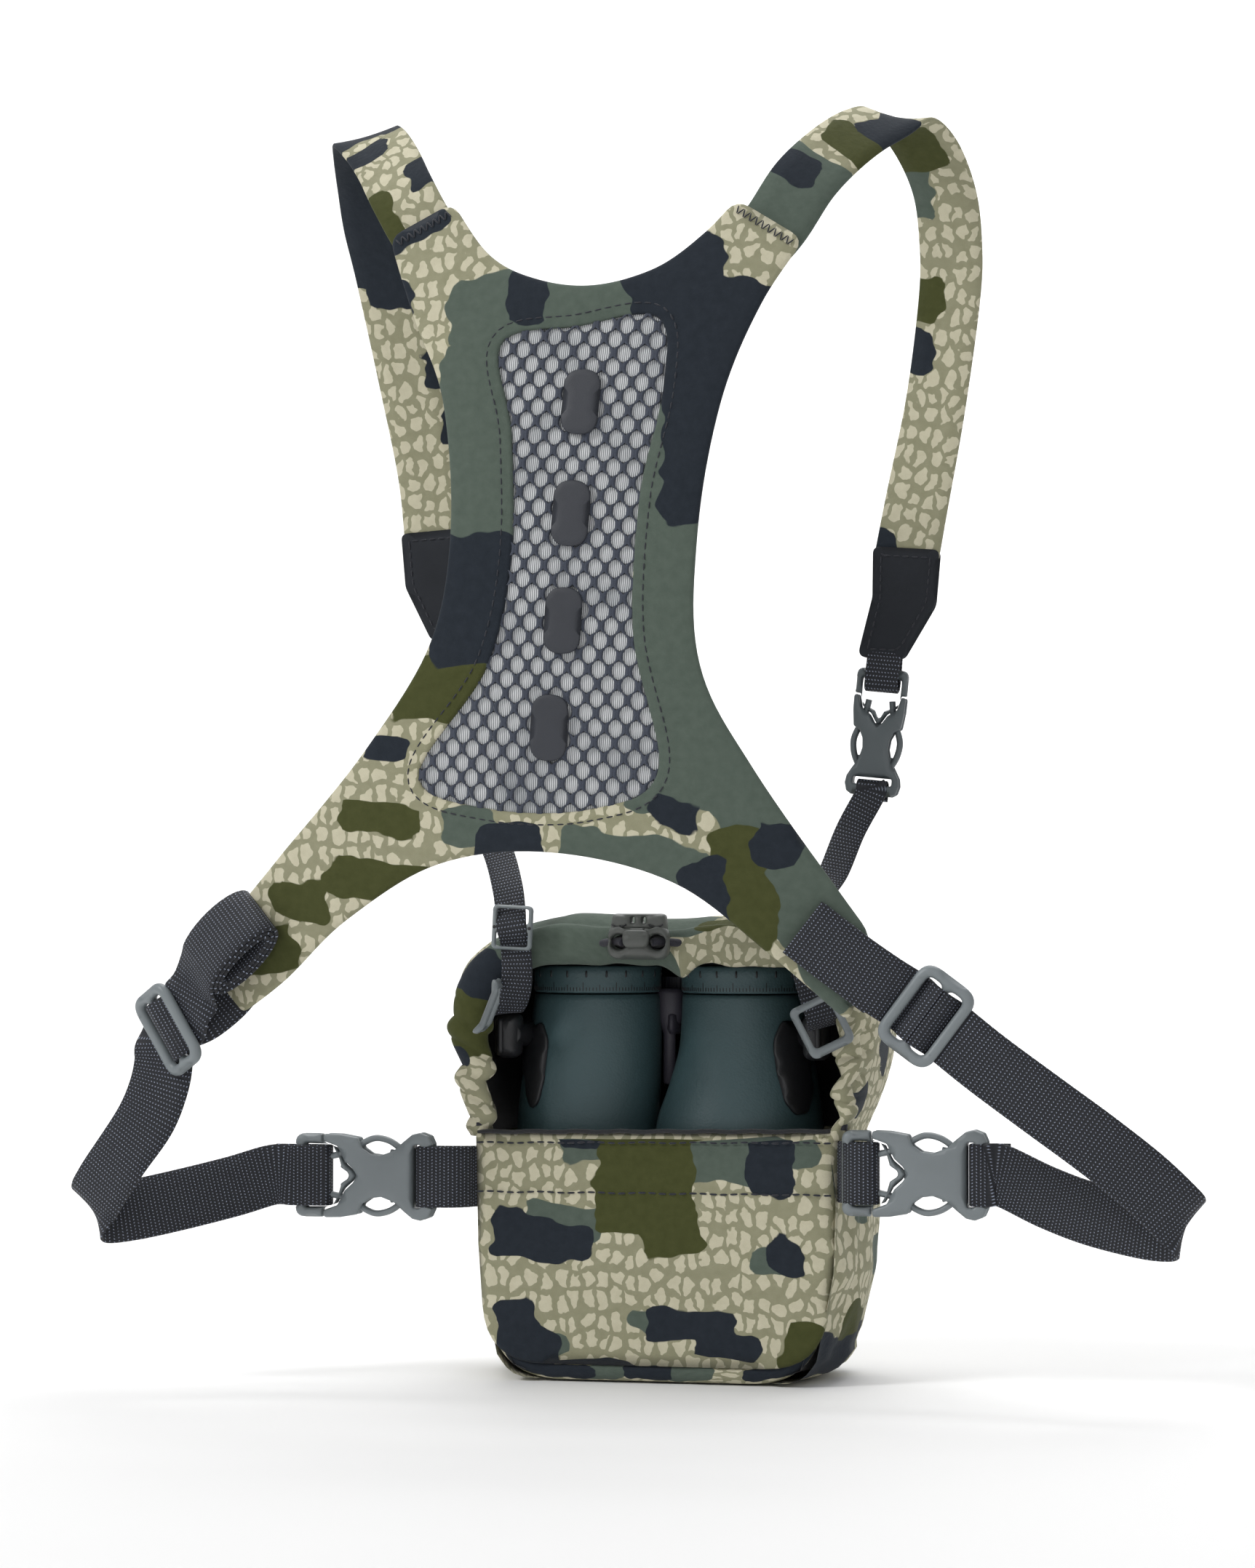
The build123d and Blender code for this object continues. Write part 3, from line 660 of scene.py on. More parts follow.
def ribbon(name, stations, width, thick, material, steps=10, phase=0.0):
    """A strap through (centre, width direction) stations, with rounded edges and lengthwise UVs."""
    centres = spline([c for c, _ in stations], steps)
    across = spline([a for _, a in stations], steps)
    h, t = width / 2, thick / 2
    near = [(-h, -t * 0.3), (-h + t * 0.5, -t), (-h * 0.5, -t), (0, -t), (h * 0.5, -t), (h - t * 0.5, -t),
            (h, -t * 0.3)]
    profile = near + [(a, -b) for a, b in reversed(near)]
    verts, uvs = [], []
    run = 0.0
    count = len(centres)
    for i, (centre, side) in enumerate(zip(centres, across)):
        along = (centres[min(i + 1, count - 1)] - centres[max(i - 1, 0)]).normalized()
        side = (side - along * side.dot(along)).normalized()
        out = along.cross(side)
        if i:
            run += (centre - centres[i - 1]).length
        for a, b in profile:
            verts.append(centre + side * a + out * b)
            uvs.append((a + phase, run))
    return fix_normals(to_object(name, verts, tube_faces(count, len(profile)), uvs, material))


def sweep(name, path, section, material, up=(0, 0, 1), scale=None):
    """A tube along a path of points; section is a list of (sideways, upwards) offsets."""
    pts = [Vector(p) for p in path]
    count = len(pts)
    verts, uvs = [], []
    run = 0.0
    for i, p in enumerate(pts):
        along = (pts[min(i + 1, count - 1)] - pts[max(i - 1, 0)]).normalized()
        side = along.cross(Vector(up)).normalized()
        out = side.cross(along)
        if i:
            run += (p - pts[i - 1]).length
        k = scale(i / max(count - 1, 1)) if scale else 1.0
        for a, b in section:
            verts.append(p + side * a * k + out * b * k)
            uvs.append((a * 3, run))
    return fix_normals(to_object(name, verts, tube_faces(count, len(section)), uvs, material))


def oval(half_u, half_v, sides, u=0.0, v=0.0):
    """An ellipse round (u, v)."""
    turns = [2 * math.pi * k / sides for k in range(sides)]
    return [(u + half_u * math.cos(a), v + half_v * math.sin(a)) for a in turns]


def circle(radius, sides=10):
    return oval(radius, radius, sides)


def rectangle(half_u, half_v, radius, steps, u=0.0, v=0.0):
    """A rectangle round (u, v) with rounded corners."""
    corners = [(u - half_u, v - half_v), (u + half_u, v - half_v), (u + half_u, v + half_v),
               (u - half_u, v + half_v)]
    return rounded(corners, radius, steps)


STITCH_RINGS = ((0.0, 0.35), (0.18, 0.9), (0.5, 1.0), (0.82, 0.9), (1.0, 0.35))    # (along, thickness)
STITCH_SIDES = 6


def stitches(name, path, normal, length=3.0, gap=1.4, radius=0.32, closed=False, zigzag=0.0):
    """A row of sewn stitches along a path; normal(point) gives the surface's outward direction."""
    pts = resample(path, length + gap, closed)
    verts, faces = [], []
    pairs = list(zip(pts, pts[1:])) + ([(pts[-1], pts[0])] if closed else [])
    for i, (a, b) in enumerate(pairs):
        along = (b - a).normalized()
        out = Vector(normal(a)).normalized()
        side = along.cross(out).normalized()
        swing = side * zigzag * (1 if i % 2 else -1)
        start, end = a + swing, a + along * length - swing
        reach = (end - start).length
        along = (end - start).normalized()
        side = along.cross(out).normalized()
        faces += tube_faces(len(STITCH_RINGS), STITCH_SIDES, len(verts))
        for t, r in STITCH_RINGS:
            for a, b in oval(radius * r, radius * r * 0.8, STITCH_SIDES, 0.0, radius * 0.2):
                verts.append(start + along * reach * t + side * a + out * b)
    return fix_normals(to_object(name, verts, faces, None, THREAD))


PAINT_REACH = 30.0         # mm


def paint(obj, patches):
    """Camo layers as signed distances in mm, positive inside a patch: (layer, u, v, half u, half v, turn)."""
    mesh = obj.data
    pairs = np.zeros((len(mesh.vertices), 2))
    layer = mesh.uv_layers[0].data
    for loop in mesh.loops:
        pairs[loop.vertex_index] = layer[loop.index].uv
    pairs /= UV
    for key in ("grey", "olive", "dark"):
        value = np.full(len(pairs), -PAINT_REACH)
        for kind, u, v, half_u, half_v, turn in patches:
            if kind != key:
                continue
            c, s = math.cos(math.radians(turn)), math.sin(math.radians(turn))
            x, y = pairs[:, 0] - u, pairs[:, 1] - v
            a, b = np.abs(x * c + y * s), np.abs(-x * s + y * c)
            r = min(half_u, half_v) * 0.45
            dx, dy = a - (half_u - r), b - (half_v - r)
            out = np.hypot(np.clip(dx, 0, None), np.clip(dy, 0, None)) + np.minimum(np.maximum(dx, dy), 0) - r
            value = np.maximum(value, -out)
        attribute = mesh.attributes.new("camo_" + key, "FLOAT", "POINT")
        value = np.clip(value, -PAINT_REACH, PAINT_REACH)
        attribute.data.foreach_set("value", value.astype(np.float32))
    return obj


def scatter(u0, u1, v0, v1, seed, count):
    """Seeded patches spread over a stretch of cloth."""
    rng = random.Random(seed)
    out = []
    for i in range(count):
        key = ("dark", "olive", "grey")[i % 3]
        half_u, half_v = rng.uniform(9, 20), rng.uniform(4, 9)
        u, v = rng.uniform(u0, u1), rng.uniform(v0, v1)
        out.append((key, u, v, half_u, half_v, rng.uniform(-14, 14)))
        out.append((key, u + half_u * rng.uniform(-0.6, 0.6), v + half_v * rng.choice((-1, 1)),
                    half_u * rng.uniform(0.4, 0.7), half_v * 0.8, rng.uniform(-14, 14)))
    return out


# ---- camera, floor and lights -------------------------------------------------------
LENS, SENSOR = 97.7, 36.0                  # mm
EYE = (0.3835, -1.7466, 0.1992)
YAW, PITCH = math.radians(13), math.radians(1.5)
FLOOR_HALF, FLOOR_NEAR, WALL, WALL_BEND, FLOOR_LEVEL = 4.4, 3.2, 2.7, 0.8, -0.0008
WORLD_LIGHT = 0.46
LAMPS = (("key", (-1.4, -1.4, 1.6), (0, -0.05, 0.22), 25, 0.6),
         ("fill", (1.5, -1.2, 0.7), (0, -0.05, 0.2), 2.4, 1.2),
         ("top", (0.0, 0.3, 1.9), (0, 0, 0.2), 14, 1.2),
         ("backdrop", (0, 2.0, 2.6), (0, 3.4, 0.9), 95, 2.4),
         ("front", (0.35, -2.3, 0.85), (0, 0, 0.2), 3.6, 0.7))     # name, place, target, watts, size


def show(obj, place, look):
    """Link a camera or lamp, placed and turned towards look."""
    obj.location = place
    obj.rotation_euler = look.to_track_quat("-Z", "Y").to_euler()
    bpy.context.scene.collection.objects.link(obj)


def make_camera():
    camera = bpy.data.cameras.new("camera")
    camera.lens = LENS
    camera.sensor_width = SENSOR
    camera.clip_end = 20
    eye = bpy.data.objects.new("camera", camera)
    level_reach = math.cos(PITCH)
    show(eye, EYE, Vector((-math.sin(YAW) * level_reach, math.cos(YAW) * level_reach, math.sin(PITCH))))
    bpy.context.scene.camera = eye


def make_floor():
    """A floor that bends up into a wall, far behind the object."""
    path = [(-FLOOR_NEAR, 0.0), (WALL, 0.0)]
    path += [(WALL + WALL_BEND * math.sin(math.radians(a)), WALL_BEND * (1 - math.cos(math.radians(a))))
             for a in range(15, 91, 15)]
    path.append((WALL + WALL_BEND, FLOOR_NEAR))
    verts = [(x / MM, y / MM, (z + FLOOR_LEVEL) / MM) for y, z in path for x in (-FLOOR_HALF, FLOOR_HALF)]
    faces = [(2 * i, 2 * i + 1, 2 * i + 3, 2 * i + 2) for i in range(len(path) - 1)]
    to_object("studio_floor", verts, faces, None, floor_material())


def make_stage():
    make_camera()
    make_floor()
    bpy.context.scene.view_settings.view_transform = "Standard"
    world = bpy.data.worlds.new("studio")
    bpy.context.scene.world = world
    world.use_nodes = True
    background = world.node_tree.nodes["Background"]
    background.inputs["Color"].default_value = (1, 1, 1, 1)
    background.inputs["Strength"].default_value = WORLD_LIGHT
    for name, place, target, watts, size in LAMPS:
        light = bpy.data.lights.new(name, "AREA")
        light.energy = watts
        light.size = size
        show(bpy.data.objects.new(name, light), place, Vector(target) - Vector(place))


# ---- pouch --------------------------------------------------------------------------
POUCH_LEVELS = [(0, 68, 35), (10, 75, 41), (45, 82, 43.5), (75, 83, 43.5), (100, 80, 42)]


POUCH_COLS = 150
POUCH_NEAR, POUCH_CORNER = -41.5, 28.0
LINING_TOP = (99.0, 3.2)
# (height, inset) up the outside, over the lip and down the lining
POUCH_SECTION = ([(0.6, 9.0), (0.9, 5.0), (2.2, 1.8), (4.5, 0.3)] + [(7.0 + 3.0 * k, 0.0) for k in range(31)]
                 + [(100.3, 0.3), (101.3, 1.4), (101.0, 2.6), LINING_TOP, (94.0, 3.4), (80, 3.6), (50, 3.6),
                    (20, 3.6), (6, 4.0), (4.0, 8.0)])
DISC_RINGS = 12
POUCH_PATCHES = [("dark", 140, 8, 20, 12, 10), ("olive", 118, 20, 14, 12, 20), ("dark", -135, 60, 16, 9, 0),
                 ("dark", -32, 62, 18, 9, 5), ("grey", -16, 70, 12, 7, 0), ("olive", 34, 78, 15, 8, -5),
                 ("grey", 62, 40, 13, 8, 0), ("dark", 64, 48, 10, 6, 0), ("olive", -66, 30, 12, 9, 0),
                 ("grey", 4, 32, 14, 7, 0)]


def wall_point(u, z, inset=0.0):
    """A point of the pouch's wall, its outward direction and its distance round from the far middle:
    u runs from -1 at the left near edge round to 1 at the right."""
    half, far = (size - inset for size in between(POUCH_LEVELS, clamp(z, 0, 100)))
    r = POUCH_CORNER - inset
    side, arc, front = far - r - POUCH_NEAR, r * math.pi / 2, half - r
    s = abs(u) * (side + arc + front)
    if s < front:
        x, y, nx, ny = s, far, 0, 1
    elif s < front + arc:
        a = (s - front) / r
        x, y = front + r * math.sin(a), far - r + r * math.cos(a)
        nx, ny = math.sin(a), math.cos(a)
    else:
        y = far - r - (s - front - arc)
        # the sides draw in towards the panel, the left one more
        start, reach, pull = (-8, 32, 6.5) if u > 0 else (6, 46, 9.5)
        x, nx, ny = half - pull * ease((start - y) / reach), 1, 0
    sign = 1 if u >= 0 else -1
    return Vector((sign * x, y, z)), Vector((sign * nx, ny, 0)), sign * s


def pouch_swell(u, s, z):
    """How far the padded wall stands out from its plain section."""
    fold = noise.noise(Vector((s * 0.05, z * 0.012, 3.1)))
    near_edge = max(0.0, abs(u) - 0.72) / 0.28
    swell = 1.3 * math.sin(math.pi * clamp(z / 100)) ** 0.7
    swell += fold * 2.0 + near_edge * 1.6 * math.sin(z * 0.19 + fold * 7 + s * 0.02) * (z > 6)
    swell += 0.8 * noise.noise(Vector((s * 0.02, z * 0.05, 8.4)))
    swell -= 1.2 * math.exp(-((z - 14) / 3.0) ** 2) * (1 if abs(u) < 0.9 else 0.4)
    return swell * min(1.0, (1.001 - abs(u)) * 20) * (0.35 if u < -0.7 else 1.0)


def pouch_disc(name, z, inset, material):
    """A floor inside the wall's ring at a height."""
    rim = [wall_point(-1 + 2 * i / POUCH_COLS, z, inset)[0] for i in range(POUCH_COLS + 1)]
    points, uvs = [], []
    for j in range(DISC_RINGS + 1):
        k = 1 - j / DISC_RINGS
        for p in rim:
            points.append((p.x * k, (p.y + 2) * k - 2 if j else p.y, z))
            uvs.append((p.x * k, -p.y * k))
    return to_object(name, points, grid_faces(DISC_RINGS + 1, POUCH_COLS), uvs, material)


def make_pouch():
    verts, uvs = [], []
    for z, inset in POUCH_SECTION:
        outer = inset < 1.0
        for i in range(POUCH_COLS + 1):
            u = -1 + 2 * i / POUCH_COLS
            p, n, s = wall_point(u, z, inset)
            verts.append(p + n * (pouch_swell(u, s, z) if outer else 0.0))
            uvs.append((s, z if outer else z - 1.6 * inset))
    wall = to_object("pouch_walls", verts, grid_faces(len(POUCH_SECTION), POUCH_COLS), uvs, CAMO)
    wall.data.materials.append(LINING)
    lining = POUCH_SECTION.index(LINING_TOP) * POUCH_COLS
    for polygon in wall.data.polygons[lining:]:
        polygon.material_index = 1
    wall = join([wall, pouch_disc("base", 0.6, 9.0, CAMO), pouch_disc("floor", 4.0, 8.0, LINING)],
                "pouch_walls")
    apply_modifier(wall, "WELD", merge_threshold=0.0002)
    fix_normals(wall)
    paint(wall, scatter(-150, 150, 5, 95, 5, 15) + POUCH_PATCHES)
    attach(wall, "harness")
    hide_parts("pouch_shell")


PANEL_PATCHES = [("olive", -2, 92, 20, 15, 0), ("olive", -3, 74, 21, 13, 4), ("olive", 8, 61, 13, 9, 12),
                 ("grey", -24, 98, 14, 8, 8), ("dark", -30, 101, 8, 6, 0), ("grey", 34, 92, 21, 11, -6),
                 ("dark", 50, 91, 10, 14, 4), ("grey", 63, 95, 7, 8, 0),
                 ("dark", -46, 57, 21, 8, -4), ("grey", -36, 66, 16, 7, -6), ("dark", -60, 61, 7, 10, 0),
                 ("dark", 57, 53, 7, 7, -20), ("grey", 49, 50, 7, 4, 0),
                 ("dark", -56, 22, 9, 12, 10), ("dark", -50, 11, 11, 10, -10), ("grey", -41, 12, 6, 7, 0),
                 ("dark", 17, 23, 19, 7, -6), ("dark", 30, 15, 14, 8, -18), ("grey", -1, 24, 9, 4, -18),
                 ("olive", 62, 14, 8, 12, -16), ("grey", 6, 4, 8, 4, 0)]


GUSSET_PATCHES = [("grey", 0, 60, 9, 60, 0), ("dark", 0, 105, 9, 22, 0), ("grey", 0, 132, 9, 8, 0),
                  ("dark", 0, 150, 9, 9, 0), ("grey", 0, 168, 9, 9, 0), ("dark", 0, 215, 9, 24, 0),
                  ("olive", 0, 247, 9, 12, 0), ("dark", 0, 268, 9, 10, 0)]


def panel_sag(x, z):
    return 0.7 * noise.noise(Vector((x * 0.03, z * 0.03, 2.0)))


def panel_curl(x):
    """How far the panel's right edge turns back."""
    return 2.2 * max(0.0, (x - 62) / 16) ** 2


def panel_place(u, v, w):
    return (u, -41.3 - w - panel_sag(u, v) + panel_curl(u), v)


def channel(u, v, dist):
    """The chest strap's channel: a slight swell between its two rows of stitching."""
    low, high = 77.0 + 0.6 * (u + 74) / 150, 97.2 + 1.6 * (u + 74) / 150
    dips = math.exp(-((v - low) / 1.4) ** 2) + math.exp(-((v - high) / 1.2) ** 2)
    swell = 0.5 if low < v < high else 0.0
    return swell * min(1, (v - low) / 3, (high - v) / 3) - 0.5 * dips


def channel_stitches(z_left, z_right):
    """A row of stitches across the panel."""
    line = []
    for k in range(49):
        x = -73.5 + 149.5 * k / 48
        line.append(Vector((x, -43.85 - panel_sag(x, z_left) + panel_curl(x),
                            z_left + (z_right - z_left) * k / 48 + 0.25 * math.sin(k * 0.9))))
    return stitches("row", line, lambda p: (0, -1, 0), length=3.1, gap=1.2, radius=0.42)


def make_panel():
    outline = rounded([(-74.5, 101.3), (-73.6, 55), (-70, 6.5), (70.5, 6.5), (76.5, 55), (78, 103.3)],
                      [2, 20, 26, 26, 20, 2], 8)
    panel = plate("pouch_back_panel_cloth", outline, [], panel_place, 3.0, 1.8, CAMO, 3.2, crown=1.4,
                  crown_reach=20, relief=channel)
    paint(panel, PANEL_PATCHES)
    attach(panel, "harness")
    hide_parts("pouch_back_panel", "pouch_chest_band")

    hem = [Vector((-73.5 + 150.5 * k / 30, -41.2 + 2.2 * max(0.0, k / 30 * 1.03 - 0.9) * 10,
                   101.5 + 1.9 * k / 30 + 0.25 * math.sin(k * 1.7))) for k in range(31)]
    edge = sweep("edge", hem, oval(2.0, 0.9, 10), LINING)
    trim = join([edge, channel_stitches(97.2, 98.8), channel_stitches(77.0, 77.6)], "pouch_panel_stitching")
    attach(trim, "harness")
    make_gusset()


def make_gusset():
    """The rolled binding along the panel's sides and lower edge."""
    corner = (-67.0, 100)
    route = from_corner(rounded([corner, (-65.5, 3.6), (66.5, 3.6), (70.5, 102)], [0, 27, 27, 0], 14), corner)
    points = [Vector((p.x, -38.6, p.y)) for p in resample(route, 3.0)]
    gusset = sweep("pouch_gusset", points, oval(3.6, 2.7, 14), CAMO, up=(0, 1, 0))
    for v in gusset.data.vertices:
        bend = noise.noise(Vector((v.co.x / MM * 0.09, v.co.z / MM * 0.07, 0.5)))
        v.co.y -= 0.5 * MM * bend
    paint(gusset, GUSSET_PATCHES)
    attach(gusset, "harness")
    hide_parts("pouch_binding")


# ---- hood ---------------------------------------------------------------------------
ARCH = [(-75.5, 100.3), (-81, 113), (-89, 148), (-80, 176), (-46, 191), (0, 189.5), (44, 191), (79, 178),
        (92, 152), (88, 122), (80, 100.3)]
HOOD_BASE = 100.3
HOOD_LEVELS = [(-36, 0.955), (-31, 0.985), (-24, 0.995), (-14, 1.0), (2, 1.0), (19, 0.99), (26.5, 0.95),
               (33, 0.9), (38.5, 0.82), (40.6, 0.765), (42, 0.7), (43, 0.6), (43.6, 0.5), (44, 0.4),
               (44.2, 0.3), (44.3, 0.2), (44.4, 0.1), (44.4, 0.03)]
HOOD_SEAM = 8              # the level where the far panel is sewn on
BACK_SHIFT = 500           # keeps the far panel's texture apart from the rest
HEM_ANGLES = [-75, -50, -25, 0, 20, 40, 60, 80, 100, 120, 140, 160, 180, 205, 228]
HEM_LEAD = 2               # rows that run back from the hem's first angle
HEM_DEPTH = -42.3
HOOD_COLS = 340
HOOD_PATCHES = [("grey", -34, 0, 42, 70, 0), ("dark", -86, 4, 11, 20, 0), ("olive", -110, 0, 15, 24, 0),
                ("dark", -128, 12, 4, 7, 0), ("olive", 40, 17, 22, 9, 0), ("grey", 76, 12, 12, 18, 0),
                ("grey", 14, 22, 10, 16, 0), ("dark", 150, 20, 8, 12, 0)]
BACK_PATCHES = [("dark", -26, 152, 17, 8, 8), ("grey", -12, 159, 13, 7, 0), ("olive", 34, 148, 12, 8, -6),
                ("dark", 40, 126, 12, 9, 0), ("grey", 30, 120, 11, 6, 0), ("olive", -38, 122, 15, 9, 5),
                ("grey", -24, 113, 12, 6, 0), ("grey", 4, 132, 13, 8, 10), ("dark", 8, 110, 14, 5, 0)]


def even(points, count):
    """count + 1 points evenly spaced along a polyline."""
    total = sum((b - a).length for a, b in zip(points, points[1:]))
    out = resample(points, total / count)
    return out[:count] + [points[-1]]


def gather(s):
    """How tightly the hem is gathered, 0 over the top to 1 low at the sides, and its lobe phase."""
    tight = ease((abs(s) - 92) / 34)
    turns = min(abs(s), 100) / 26 + max(abs(s) - 100, 0) / 11.5
    phase = math.pi * turns * (1 if s >= 0 else -1) + 1.1 * noise.noise(Vector((s * 0.05, 1.7, 0.3)))
    return tight, phase


def lowness(o):
    """0 over the top of the arch to 1 at its lower ends."""
    return clamp((128 - o.y) / 24)


def shrunk(o, scale):
    """An arch point drawn in towards the middle of the hood's lower edge."""
    return Vector((o.x * scale, HOOD_BASE + (o.y - HOOD_BASE) * scale))


def hem_point(o, m, s, swing, back):
    """A point of the hem's tube, between the outer line point o and the mouth line point m."""
    tight, phase = gather(s)
    across = (o - m).normalized()
    half = (o - m).length / 2
    lobe = abs(math.sin(phase + tight * 0.8 * math.cos(swing))) ** 0.65 - 0.62
    soft = noise.noise(Vector((s * 0.035, swing * 0.6, 4.0)))
    puff = 3.1 * tight * lobe + (1 - tight) * (0.5 * lobe + 1.5 * soft)
    sway = 1.9 * tight * math.sin(phase) + (1 - tight) * 0.8 * noise.noise(Vector((s * 0.05, 9.0, 1.0)))
    dip = -4.6 * math.exp(-((s - 9) / 6.5) ** 2)
    dip += 1.5 * (1 - tight) * noise.noise(Vector((s * 0.06, 2.0, 7.0)))
    a, b = half + 0.4 + puff * 0.6, 4.4 + puff * 0.75
    p = (o + m) / 2 + across * (sway - a * math.cos(swing) + dip * max(0.0, math.cos(swing)))
    tuck = 6.0 * max(0.0, 1 - (p.y - HOOD_BASE) / 8.0)
    return Vector((p.x, HEM_DEPTH - b * math.sin(swing) + back + tuck, p.y))


def shell_point(o, s, y, scale):
    """A point of the hood behind its hem, where the outer line is o, shrunk by scale."""
    tight, phase = gather(s)
    scale += (1 - scale) * (lowness(o) if y < 0 else 0.0)
    fade = math.exp(-(y + 36) / 16.0)
    fold = (abs(math.sin(phase)) ** 0.65 - 0.62) * fade * (0.5 + 2.2 * tight)
    broad = 1.8 * noise.noise(Vector((s * 0.02, y * 0.03, 6.0))) * (1 if scale > 0.6 else scale)
    crumple = 1.1 * noise.noise(Vector((s * 0.06, y * 0.07, 2.5))) * min(1, scale * 1.2)
    p = shrunk(o, scale)
    out = (p - Vector((0, HOOD_BASE + 20))).normalized()
    sink = fold + broad + crumple - 0.8
    if y > -25:
        sink = max(sink, -0.9)     # room for the eyecups to twist out below
    p = p + out * sink
    return Vector((p.x, y, p.y))


def hood_grid(arch, mouth, length):
    """Rows of points from the mouth round the hem and back over the shell."""
    shell = HEM_LEAD + len(HEM_ANGLES)
    grid = []
    for r in range(shell + len(HOOD_LEVELS)):
        row = []
        for i, (o, m) in enumerate(zip(arch, mouth)):
            s = length * i / HOOD_COLS - length / 2
            if r < shell:
                swing = math.radians(HEM_ANGLES[max(r - HEM_LEAD, 0)])
                p = hem_point(shrunk(o, 0.95 + 0.05 * lowness(o)), m, s, swing, max(HEM_LEAD - r, 0) * 6.0)
            else:
                p = shell_point(o, s, *HOOD_LEVELS[r - shell])
            p.z = HOOD_BASE - 0.6 if i in (0, HOOD_COLS) else max(p.z, HOOD_BASE - 1.2)
            row.append(p)
        grid.append(row)
    return grid


def hood_uvs(grid, length, seam):
    """Lengths along and across the cloth, and past the seam the flat far panel seen square on."""
    steps = [np.array([(b - a).length for a, b in zip(low, high)]) for low, high in zip(grid, grid[1:])]
    smooth = np.ones(41) / 41
    steps = [np.convolve(np.pad(step, 20, mode="edge"), smooth, mode="valid") for step in steps]
    run = np.concatenate([[np.zeros(HOOD_COLS + 1)], np.cumsum(steps, axis=0)])
    run -= run[HEM_LEAD + HEM_ANGLES.index(80)]
    uvs = [(length * i / HOOD_COLS - length / 2, float(run[r][i]))
           for r in range(seam + 1) for i in range(HOOD_COLS + 1)]
    return uvs + [(BACK_SHIFT - p.x, p.z) for row in grid[seam + 1:] for p in row]


def make_hood():
    arch = even(spline(ARCH, 12), HOOD_COLS)
    low_left, low_right = (-68, HOOD_BASE), (76.5, HOOD_BASE)
    top = rounded([low_left, (-68.5, 171), (78.5, 171), low_right], [0, 30, 30, 0], 12)[1:-1]
    mouth = even([Vector(low_left)] + top + [Vector(low_right)], HOOD_COLS)
    length = sum((b - a).length for a, b in zip(arch, arch[1:]))
    grid = hood_grid(arch, mouth, length)
    seam = HEM_LEAD + len(HEM_ANGLES) + HOOD_SEAM
    grid.insert(seam, [p.copy() for p in grid[seam]])
    verts = [p for row in grid for p in row]
    faces = grid_faces(len(grid), HOOD_COLS, skip=seam)
    hood = to_object("hood_cloth", verts, faces, hood_uvs(grid, length, seam), CAMO)
    apply_modifier(hood, "WELD", merge_threshold=0.0003)
    fix_normals(hood)
    back = [(layer, BACK_SHIFT + u, *rest) for layer, u, *rest in BACK_PATCHES]
    paint(hood, HOOD_PATCHES + scatter(-170, 170, 38, 130, 9, 18) + back)
    hood.data.materials.append(LINING)
    apply_modifier(hood, "SOLIDIFY", thickness=1.4 * MM, offset=-1.0, material_offset=1)
    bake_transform(hood)
    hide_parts("hood", "hood_hem")


LOCK_X = -3.0


def make_drawcord():
    route = rounded([(-73, 104), (-77.5, 150), (-54, 180.0), (56, 180.5), (84.0, 150), (80, 104)],
                    [0, 18, 18, 18, 18, 0], 8)
    line = [Vector((p.x, HEM_DEPTH, p.y)) for p in resample(route, 3.0)]
    cord = sweep("hood_elastic", from_corner(line, (-73, HEM_DEPTH, 104)), circle(1.5), CORD, up=(0, 1, 0))
    ends = []
    for side in (-1, 1):
        x = LOCK_X + side * 8.3
        through = spline([(x + side * 9, -45.0, 179.5), (x + side * 3.5, -49.5, 180.2),
                          (x - side * 0.4, -53.0, 180.4), (x - side * 2.2, -54.6, 180.0)], 8)
        ends.append(sweep("strand", through, circle(1.7), CORD))
    cord = join([cord] + ends, "hood_elastic")
    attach(cord, "hood")
    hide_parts("hood_drawcord")


def lock_face(depth):
    """place(u, v, w) on an upright face of the lock."""
    return lambda u, v, w: (u, depth - w, v)


def lock_outline(low_half, low, high_half, high, radius, steps=8):
    """An upright four-sided outline about the lock's middle."""
    return rounded([(LOCK_X - low_half, low), (LOCK_X + low_half, low), (LOCK_X + high_half, high),
                    (LOCK_X - high_half, high)], radius, steps)


def make_lock_body():
    eyes = [oval(3.4, 3.0, 24, LOCK_X + side * 8.0, 180.2) for side in (-1, 1)]
    body = plate("cord_lock_shell", lock_outline(13.2, 173.0, 12.6, 187.2, [5.5, 5.5, 5.0, 5.0]), eyes,
                 lock_face(-51.8), 9.6, 2.6, LOCK, 2.5, crown=0.5, crown_reach=3)
    slots = [rectangle(0.55, 1.2, 0.5, 3, LOCK_X + x, 189.2) for x in (-2.3, 2.3)]
    flange_outline = rounded([(LOCK_X - 12.0, 183.5), (LOCK_X + 12.0, 183.5), (LOCK_X + 11.4, 191.8),
                              (LOCK_X - 11.0, 191.8)], [1.5, 1.5, 2.0, 2.0], 5)
    flange = plate("flange", flange_outline, slots, lock_face(-51.0), 7.0, 1.5, LOCK, 2.5)
    # painted shade: black lines near the lock body's top edge stand for the shade in its grooves
    groove_shade_lines = []
    for side in (-1, 1):
        arc = [Vector((LOCK_X + side * (4.6 + 6.2 * k / 10), -54.7, 187.4 - 1.1 * math.sin(math.pi * k / 10)))
               for k in range(11)]
        groove_shade_lines.append(sweep("groove", arc, circle(0.35, 6), BLACK, up=(0, 1, 0)))
    # painted shade: a black sheet inside the lock, behind both eyes, darkens the holes
    liner = plate("liner", oval(12.0, 4.0, 32, LOCK_X, 180.2), [], lock_face(-49.5), 1.5, 0.7, BLACK, 3.0)
    body = join([body, flange, liner] + groove_shade_lines, "cord_lock_shell")
    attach(body, "hood")
    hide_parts("cord_lock_body")


